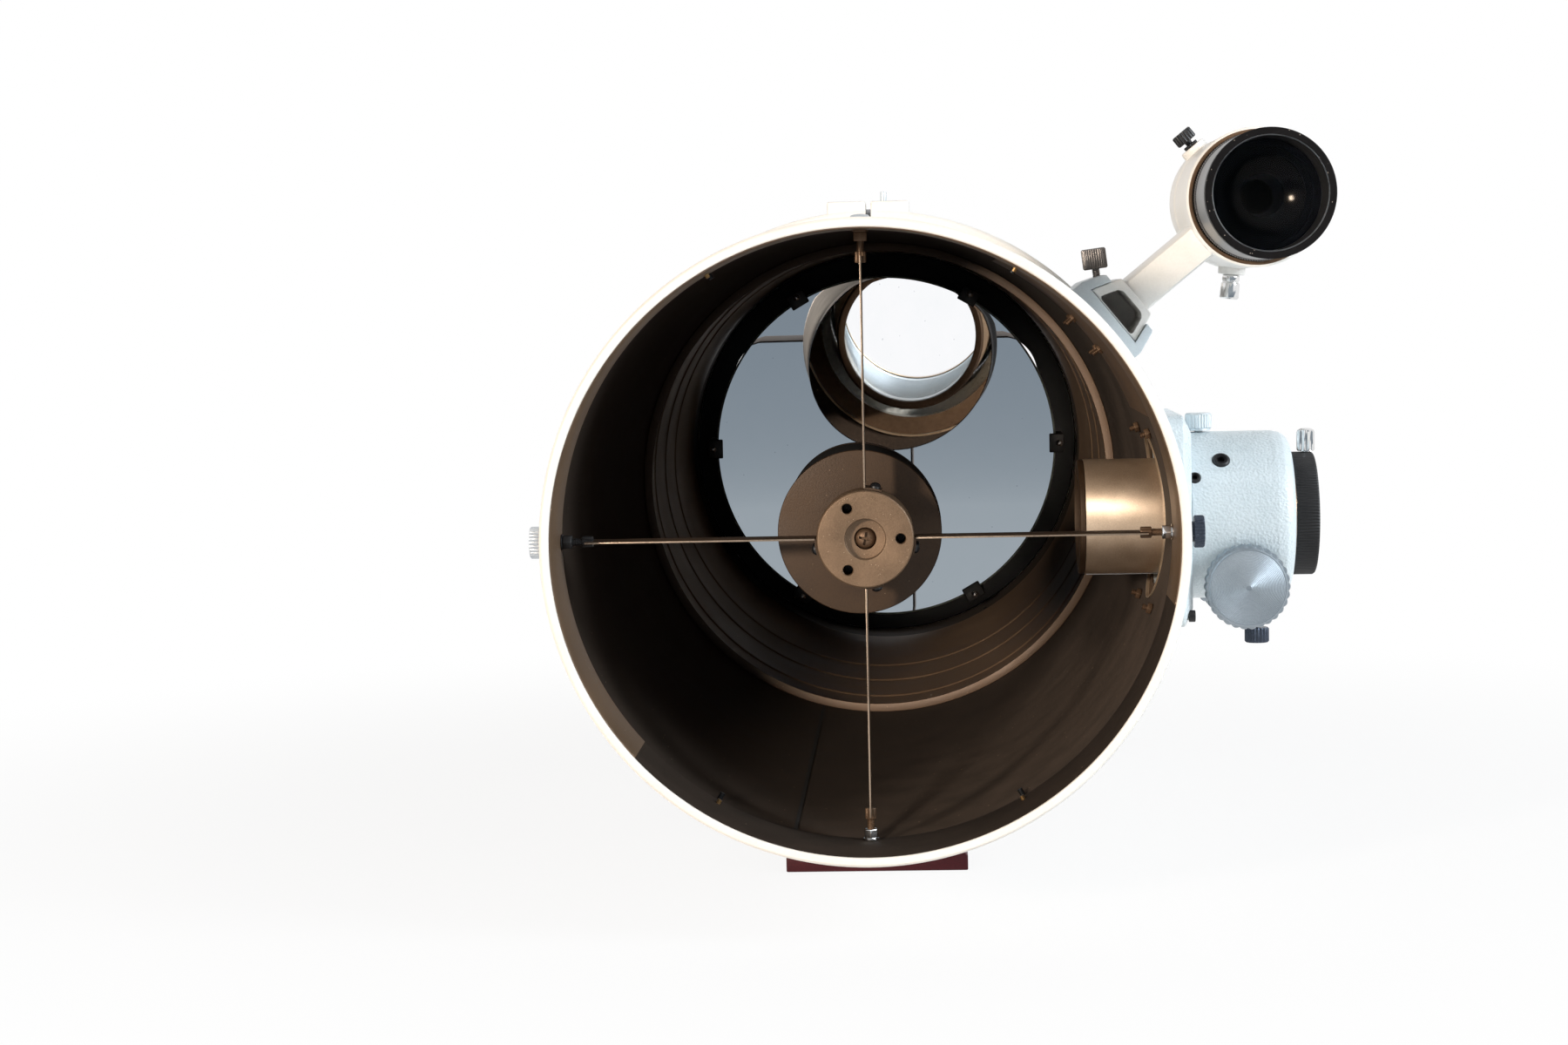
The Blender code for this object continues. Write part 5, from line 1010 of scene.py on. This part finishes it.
def build_finder_tube():
    edge = tube(0.0319, 0.0336, 0.1414, 0.1421, BROAD, 0.0001)
    add("bracket_edge", placed(edge, FINDER), fittings_black_warm_lit, "finder_carrier")
    outside = [(0.0273, 0.1152), (0.0273, 0.1370), (0.0285, 0.1370), (0.0285, 0.1800), (0.0280, 0.1815),
               (0.0242, 0.2035), (0.0240, 0.2050), (0.0240, 0.2545), (0.0236, 0.2560), (0.0168, 0.2790),
               (0.0165, 0.2800), (0.0165, 0.2932)]
    inside = [(0.0145, 0.2932), (0.0145, 0.2780), (0.0220, 0.2530), (0.0220, 0.2030), (0.0253, 0.1780),
              (0.0253, 0.1152)]
    add("finder_barrel", placed(turned(outside + inside), FINDER), cast_white, "finder", "finder_tube")
    blacking = tube(0.0138, 0.0144, 0.2600, 0.2930, 96, 0)
    add("finder_blacking", placed(blacking, FINDER), rubber, "finder")
    stop = [(0.0120, 0.1200), (0.0246, 0.1200), (0.0246, 0.1146), (0.0273, 0.1146), (0.0273, 0.1150),
            (0.0252, 0.1150), (0.0252, 0.1208), (0.0120, 0.1208)]
    stop = joined([turned(stop, 96), rod(0.0218, 0.2045, 0.2050, 96)])
    add("finder_stop", placed(stop, FINDER), rubber, "finder")
    eyepiece = [(0.0080, 0.2935), (0.0172, 0.2935), (0.0172, 0.3160), (0.0176, 0.3175), (0.0195, 0.3275),
                (0.0175, 0.3275), (0.0100, 0.3190), (0.0080, 0.3175)]
    grip = fluted(turned(eyepiece, 240, 0.0002), 60, 0.0004, 0.2950, 0.3150, 0.0171)
    add("eyepiece", placed(grip, FINDER), black, "finder", "finder_eyepiece")
    eye_lens = turned([(0, 0.3120), (0.0079, 0.3135), (0.0079, 0.3160), (0, 0.3172)], 64)
    add("eye_lens", placed(eye_lens, FINDER), clear_lens, "finder")
    band = wire_section(0.03022, 0.0016, 0.148, 16)
    bmesh.ops.spin(band, geom=band.verts[:] + band.edges[:], cent=(0, 0, 0), axis=(0, 0, 1), angle=2 * pi,
                   steps=120, use_merge=True)
    add("support_ring", placed(band, FINDER), rubber, "finder", "finder_o_ring")


def build_aim_screws():
    for name, angle in AIM_ANGLES.items():
        spot = finder_spot(angle, AIM_START)
        nut = fluted(tube(0.0022, 0.0040, 0.0138, 0.0154, 80), 20, 0.0004, 0.0140, 0.0152, 0.0039)
        add(f"aim_nut_{name}", placed(nut, spot), black, "finder_carrier")
        screw = joined([threaded(0.002, 0, 0.0175), knurled(0.0056, 0.0171, 0.0231, 20, 0.0006)])
        add_mover(f"aim_screw_{name}", placed(screw, spot), black, f"finder_adjuster_{name}")
    spot = finder_spot(PLUNGER_ANGLE, AIM_START)
    housing = [(0.0025, 0.0080), (0.0036, 0.0080), (0.0036, 0.0138), (0.0044, 0.0140), (0.0046, 0.0148),
               (0.0046, 0.0168), (0.0042, 0.0172), (0.0042, 0.0178), (0.0050, 0.0184), (0.0050, 0.0258),
               (0.0043, 0.0267), (0, 0.0267), (0, 0.0247), (0.0025, 0.0247)]
    add("plunger_housing", placed(turned(housing, 72, 0.0002), spot), chrome, "finder_carrier",
        "plunger_barrel")
    add_mover("plunger_rod", placed(rod(0.002, 0, 0.0187, 40, 0.0006), spot), chrome, "plunger_pin")


def length_along(edge, axis):
    """How far an edge runs along one axis."""
    return abs(edge.verts[0].co[axis] - edge.verts[1].co[axis])


def build_bracket():
    barrel = [(0.0320, 0.1420), (0.0340, 0.1420), (0.0347, 0.1428), (0.0347, 0.1560), (0.0341, 0.1580),
              (0.0341, 0.2160), (0.0347, 0.2180), (0.0347, 0.2442), (0.0340, 0.2450), (0.0320, 0.2450)]
    stalk = bar((-0.009, 0.1742, -0.205), (0.009, 0.2188, -0.155), 0)
    eased(stalk, 0.0032, lambda edge: length_along(edge, 1) > 0.02, 2)
    half = [(0.0169, 0.1600), (0.0133, 0.1705), (0.0120, 0.1745), (0.0108, 0.1752)]
    foot = placed(run(mirrored(half), -0.208, -0.152, 0.0008), SHOE)
    hollow = [(0.0137, 0.1606), (0.0101, 0.1698), (0.0086, 0.1718), (-0.0070, 0.1718), (-0.0085, 0.1698),
              (-0.0120, 0.1606)]
    cavity = run(hollow, -0.200, -0.140)
    eased(cavity, 0.0022, lambda edge: length_along(edge, 2) > 0.02)
    parts = [carve(foot, [placed(cavity, SHOE)]), placed(stalk, SHOE),
             placed(turned(barrel, BROAD, 0.0002), FINDER)]
    for angle in [*AIM_ANGLES.values(), PLUNGER_ANGLE]:
        boss = turned([(0.0026, 0.0322), (0.0072, 0.0335), (0.0070, 0.0375), (0.0066, 0.0380),
                       (0.0026, 0.0380)], 56, 0.0002)
        parts.append(placed(boss, finder_spot(angle)))
    add("finder_ring", joined(parts), cast_white, "finder_carrier", "finder_bracket")


def build_shoe():
    half = [(0.0230, 0.1337), (0.0230, 0.1584), (0.0190, 0.1690), (0.0180, 0.1702), (0.0138, 0.1702),
            (0.0174, 0.1597)]
    shoe = run(mirrored(half), -0.210, -0.150, 0.0004)
    saddle = placed(rod(SADDLE_RADIUS, 0.1, 0.3, WIDE), TUBE)
    screw_frame = aim(SHOE_SCREW_TIP, round_the_tube(SHOE_SCREW_ANGLE))
    tapped = placed(rod(0.0025, -0.004, 0.03, 32), screw_frame)
    channel = carve(placed(shoe, SHOE), [saddle, tapped])
    add("shoe_channel", channel, shoe_white_shaded, node="finder_shoe")
    head = knurled(0.0063, 0.0080, 0.0185, 34, 0.0005, 0.0007, 0.0008)
    screw = joined([threaded(0.002, 0, 0.0084), head])
    add_mover("shoe_knob", placed(screw, screw_frame), smoked_steel, "shoe_thumbscrew")
    for number, (x, z) in enumerate(((0.104, 0.099), (0.117, 0.083)), 1):
        inwards = Vector((-x, 0, -z)).normalized()
        for share, depth in enumerate((0.165, 0.195), 1):
            spot = Matrix.Translation(at(0, depth, 0) - inwards * LINING_RADIUS) @ aim(Vector(), inwards)
            bolt = joined([hexagon(0.0044, 0.0003, 0.0022, 0.0002), threaded(0.0012, 0, 0.0056)])
            add(f"shoe_bolt_{number}_{share}", placed(bolt, spot), fittings_black_warm_lit)


# Tube clamps and plate


CLAMP_DEPTHS = {"front": 0.300, "rear": 0.572}
CLAMP_SECTION = [(0.1485, -0.015), (0.1582, -0.015), (0.1597, -0.0135), (0.1597, 0.0135), (0.1582, 0.015),
                 (0.1485, 0.015)]
HINGE_ANGLE = 250
HINGE_X = -0.05616
HINGE_Z = -0.154298
EAR_HALF = 0.0135
EAR_NEAR = 0.0014
EAR_FAR = 0.0225
EAR_BASE = 0.1515
EAR_TOP = 0.1647
WEB_REACH = 0.013
WEB_BASE = -0.0101
WEB_TOP = 0.0054
CLAMP_BOLT_Z = 0.1577
KNUCKLE_RADIUS = 0.0065
KNUCKLE_HALF = 0.0044
KNUCKLE_ROOM = 0.0070
FORK_GAP = 0.0049
PLATE_HALF = 0.240
PLATE_TOP = 0.015
PLATE_BOLTS = [(x, y) for y in (-0.128, 0.144) for x in (-0.022, 0.022)]
PLATE_SLOTS = (0.0, 0.205)
PLATE_STOPS = (-0.232, 0.232)


def build_clamp(name, depth):
    across = Matrix.Translation(at(0, depth, 0)) @ FRONTWARD
    hinge = Matrix.Translation(at(HINGE_X, depth, HINGE_Z))
    outwards = round_the_tube(HINGE_ANGLE)
    arm = hinge @ axes(Vector((-outwards.z, 0, outwards.x)), outwards, Vector((0, 1, 0)))
    pin = hinge @ TUBEWARD

    def arc(start, sweep):
        """The clamp's section turned round the tube from one angle, through a sweep."""
        shape = turned(CLAMP_SECTION, round(sweep / 2), 0.0004, radians(sweep))
        return placed(shape, across @ Matrix.Rotation(radians(start), 4, "Z"))

    def bolt_slot():
        return placed(bar((-0.01, 0.1541, -0.0036), (0.05, 0.20, 0.0036), 0), across)

    ear = bar((-EAR_FAR, EAR_BASE, -EAR_HALF), (-EAR_NEAR, EAR_TOP, EAR_HALF), 0.0012)
    knuckle = placed(tube(0.0030, KNUCKLE_RADIUS, -KNUCKLE_HALF, KNUCKLE_HALF, SMALL), pin)
    web = bar((-WEB_REACH, WEB_BASE, -KNUCKLE_HALF), (-0.0031, WEB_TOP, KNUCKLE_HALF), 0.0006)
    bolt_axis = Matrix.Translation(at(-EAR_FAR, depth, CLAMP_BOLT_Z)) @ SIDEWARD
    sunk = turned([(0, -0.02), (0.0056, -0.02), (0.0056, 0.0063), (0.0036, 0.0063), (0.0036, 0.03),
                   (0, 0.03)], 40)
    room = [placed(rod(KNUCKLE_ROOM, FORK_GAP, 0.03), pin),
            placed(rod(KNUCKLE_ROOM, -0.03, -FORK_GAP), pin)]
    shapes = [carve(arc(90.55, 158.3), room), carve(placed(ear, across), [placed(sunk, bolt_axis)]),
              knuckle, placed(web, arm)]
    add_mover(f"{name}_jaw", joined(shapes), cast_white, f"{name}_clamp_jaw")

    ear = bar((EAR_NEAR, EAR_BASE, -EAR_HALF), (EAR_FAR, EAR_TOP, EAR_HALF), 0.0012)
    foot = bar((-0.035, -0.1717, -EAR_HALF), (0.035, -0.1513, EAR_HALF), 0.0010)
    saddle = placed(rod(0.1560, -0.02, 0.02, BROAD), across)
    room = placed(rod(KNUCKLE_ROOM, -FORK_GAP, FORK_GAP), pin)
    shapes = [carve(arc(250.58, 198.87), [room, bolt_slot()]), carve(placed(foot, across), [saddle]),
              carve(placed(ear, across), [bolt_slot()])]
    for low, high in ((-EAR_HALF, -FORK_GAP), (FORK_GAP, EAR_HALF)):
        shapes.append(placed(rod(KNUCKLE_RADIUS, low, high, SMALL, 0.0003), pin))
        web = bar((0.0, WEB_BASE, low), (WEB_REACH, WEB_TOP, high), 0.0006)
        shapes.append(placed(web, arm))
    shapes.append(placed(rod(0.0025, -0.0130, 0.0130, 32), pin))
    add(f"{name}_cradle", joined(shapes), cast_white, node=f"{name}_clamp_cradle")
    beside = across @ Matrix.Translation((0.0083, 0, 0)) @ TUBEWARD
    add(f"{name}_post", placed(rod(0.0018, 0.1640, 0.1700, 28, 0.0005), beside), pale_satin)
    liner = tube(SADDLE_RADIUS, 0.1484, -0.0140, 0.0140, WIDE, 0.0002)
    add(f"{name}_felt", placed(liner, across), rubber)
    head = socketed(rod(0.0050, 0.0, 0.0060, SMALL, 0.0005), 0.0050, -0.01, 0.0030)
    bolt = joined([head, threaded(0.003, 0.0059, 0.0400, 0.001)])
    add_mover(f"{name}_bolt", placed(bolt, bolt_axis), steel, f"{name}_clamp_bolt")


def build_plate():
    half = [(0.0475, 0.0), (0.0475, 0.008), (0.0415, PLATE_TOP)]
    plate = run(mirrored(half), -PLATE_HALF, PLATE_HALF, 0.0007)
    cuts = []
    for y in PLATE_SLOTS:
        slot_cut = run(rounded_square(0.022, 0.010), -0.01, 0.03)
        cuts.append(placed(slot_cut, Matrix.Translation((0, y, 0))))
    for x, y in PLATE_BOLTS:
        hole = turned([(0, -0.01), (0.0062, -0.01), (0.0062, 0.0070), (0.0034, 0.0070), (0.0034, 0.02),
                       (0, 0.02)], 40)
        cuts.append(placed(hole, Matrix.Translation((x, y, 0))))
    add("dovetail", carve(placed(plate, FRONTWARD), cuts), red_anodised, node="dovetail_plate")
    for number, (x, y) in enumerate(PLATE_BOLTS, 1):
        head = socketed(rod(0.0055, 0.0012, 0.0070, SMALL, 0.0005), 0.0050, -0.01, 0.0042)
        bolt = joined([head, rod(0.0030, 0.0069, 0.0149, 24)])
        add(f"plate_bolt_{number}", placed(bolt, Matrix.Translation((x, y, 0))), steel)
    for number, y in enumerate(PLATE_STOPS, 1):
        stop = socketed(rod(0.0036, PLATE_TOP, 0.0176, 40, 0.0005), 0.0030, 0.0162, 0.03)
        add(f"plate_stop_{number}", placed(stop, Matrix.Translation((0, y, 0))), steel)


# Light, floor and camera


WHITE = (1, 1, 1, 1)
WARM = (1.0, 0.87, 0.73)
PALE = (1.0, 0.93, 0.84)
COOL = (0.86, 0.94, 1.0)
CAMERA_POINT = (0.02747, -1.80122, 0.30152)
FLOOR_Z = -0.0004
TUBE_INSIDE = ("tube_lining", "lining_seam", "lit_deep_lining", "lining_hoop_1", "lining_hoop_2",
               "lining_hoop_3", "baffle")


def lamp(name, position, target, size, power, colour):
    data = bpy.data.lights.new(name, "AREA")
    data.shape = "DISK"
    data.size = size
    data.energy = power
    data.color = colour
    made = bpy.data.objects.new(name, data)
    aimed = (Vector(target) - Vector(position)).to_track_quat("-Z", "Y").to_matrix().to_4x4()
    made.matrix_world = Matrix.Translation(position) @ aimed
    bpy.context.scene.collection.objects.link(made)
    return made


def link_lamp(source, name, pieces, state="INCLUDE"):
    """A lamp kept to some pieces, or kept off them."""
    group = bpy.data.collections.new(name)
    for piece in pieces:
        group.objects.link(bpy.data.objects[piece])
    for member in group.collection_objects:
        member.light_linking.link_state = state
    source.light_linking.receiver_collection = group


def stage_sheet(name, outline, width, material):
    """A plain sheet run sideways from an outline of (y, z) points."""
    shape = bmesh.new()
    verts = [shape.verts.new((-width, y, z)) for y, z in outline]
    edges = [shape.edges.new(pair) for pair in zip(verts, verts[1:])]
    shifted(shape, bmesh.ops.extrude_edge_only(shape, edges=edges), (2 * width, 0, 0))
    made = in_scene(name, shape)
    made.data.shade_smooth()
    made.data.materials.append(material)


def studio_paint(name, diffuse, reflected, keep):
    """A matt sheet that the camera sees as white, keeping a share of its shadow near the middle.

    reflected is a pair of colours for a painted reflection: shiny pieces see the sheet glow with them, the
    first near the middle and the second far out in front.
    """
    made, tree = new_material(name)
    tree.nodes.remove(tree.nodes["Principled BSDF"])
    matt = put(tree, "BsdfDiffuse", {"Color": diffuse})
    rays = put(tree, "LightPath", {}).outputs
    seen = put(tree, "Emission", {"Color": WHITE, "Strength": 1.0})
    place = put(tree, "TexCoord", {}).outputs["Object"]
    away = put(tree, "VectorMath", {0: place}, operation="LENGTH").outputs["Value"]
    shade = put(tree, "MapRange", {"Value": away, "From Min": 0.2, "From Max": 0.85, "To Min": 1 - keep,
                                   "To Max": 1.0}, interpolation_type="SMOOTHSTEP")
    distance = put(tree, "MapRange", {"Value": away, "From Min": 1.8, "From Max": 6.0})
    tone = blend(tree, distance.outputs[0], *reflected)
    painted_reflection = put(tree, "Emission", {"Color": tone, "Strength": 1.0})
    part = put(tree, "Math", {0: rays["Is Camera Ray"], 1: shade.outputs[0]}, operation="MULTIPLY")
    first = put(tree, "MixShader", {0: part.outputs[0], 1: matt.outputs[0], 2: seen.outputs[0]})
    sharp = put(tree, "Math", {0: rays["Is Glossy Ray"], 1: rays["Is Transmission Ray"]},
                operation="MAXIMUM")
    both = put(tree, "MixShader", {0: sharp.outputs[0], 1: first.outputs[0], 2: painted_reflection.outputs[0]})
    tree.links.new(both.outputs[0], tree.nodes["Material Output"].inputs["Surface"])
    return made


def build_room():
    floor = studio_paint("floor_white", (0.86, 0.86, 0.86, 1), (WHITE, WHITE), 0.12)
    stage_sheet("floor", [(-1.2, FLOOR_Z), (7.0, FLOOR_Z)], 6.0, floor)
    # Painted reflection: the front sheet glows grey-blue for shiny pieces, darker near the middle.
    painted_reflection_greys = ((0.18, 0.22, 0.26, 1), (0.34, 0.385, 0.42, 1))
    front = studio_paint("studio_front", (0.5, 0.5, 0.5, 1), painted_reflection_greys, 0.0)
    curve = [(-1.2, FLOOR_Z), (-5.2, FLOOR_Z), (-5.6, 0.08), (-5.9, 0.35), (-6.0, 0.8), (-6.0, 3.0)]
    stage_sheet("studio_wall", curve, 4.0, front)
    world = bpy.data.worlds.new("studio")
    world.use_nodes = True
    tree = world.node_tree
    rays = put(tree, "LightPath", {}).outputs
    first = put(tree, "Math", {0: rays["Is Camera Ray"], 1: rays["Is Glossy Ray"]}, operation="MAXIMUM")
    direct = put(tree, "Math", {0: first.outputs[0], 1: rays["Is Transmission Ray"]}, operation="MAXIMUM")
    level = put(tree, "MapRange", {"Value": direct.outputs[0], "To Min": 0.2, "To Max": 1.0})
    sky = tree.nodes["Background"]
    sky.inputs["Color"].default_value = WHITE
    tree.links.new(level.outputs[0], sky.inputs["Strength"])
    bpy.context.scene.world = world


def hang_lamps():
    lamp("key", (-1.39, -2.52, 0.68), (0, -0.38, 0.187), 0.30, 64, WARM)
    fill = lamp("fill", (2.1, -1.3, 1.15), (0.15, -0.2, 0.2), 1.2, 60, COOL)
    link_lamp(fill, "lens_shade", ["objective_lens"], "EXCLUDE")
    inner = lamp("inner", (-0.52, -2.6, 0.46), (0.05, 0.2, 0.14), 0.25, 126, WARM)
    link_lamp(inner, "tube_wall", TUBE_INSIDE)
    sheen = lamp("sheen", (0.12, -2.1, 1.01), (0.125, -0.28, 0.19), 0.36, 13, PALE)
    link_lamp(sheen, "barrel_sheen", ["drawtube_barrel"])


def place_camera():
    data = bpy.data.cameras.new("camera")
    data.lens = 69.351
    data.sensor_width = 36
    data.sensor_fit = "HORIZONTAL"
    yaw, pitch, roll = -0.046374, -0.075215, radians(1.2)
    ahead = Vector((sin(yaw) * cos(pitch), cos(yaw) * cos(pitch), sin(pitch)))
    right = Vector((cos(yaw), -sin(yaw), 0))
    up = right.cross(ahead)
    across = right * cos(roll) - up * sin(roll)
    above = right * sin(roll) + up * cos(roll)
    camera = bpy.data.objects.new("camera", data)
    camera.matrix_world = Matrix.Translation(CAMERA_POINT) @ axes(across, above, -ahead)
    bpy.context.scene.collection.objects.link(camera)
    bpy.context.scene.camera = camera


build_wall()
build_rings()
build_mirror()
build_cell()
build_hub()
for vane, (vane_angle, foot_side) in VANES.items():
    build_vane(vane, vane_angle, foot_side)
build_secondary()
build_focuser_base()
build_focuser_body()
build_drive()
build_drawtube()
build_objective()
build_finder_tube()
build_aim_screws()
build_bracket()
build_shoe()
for clamp_name, clamp_depth in CLAMP_DEPTHS.items():
    build_clamp(clamp_name, clamp_depth)
build_plate()
build_room()
hang_lamps()
place_camera()
bpy.context.scene.view_settings.view_transform = "Standard"
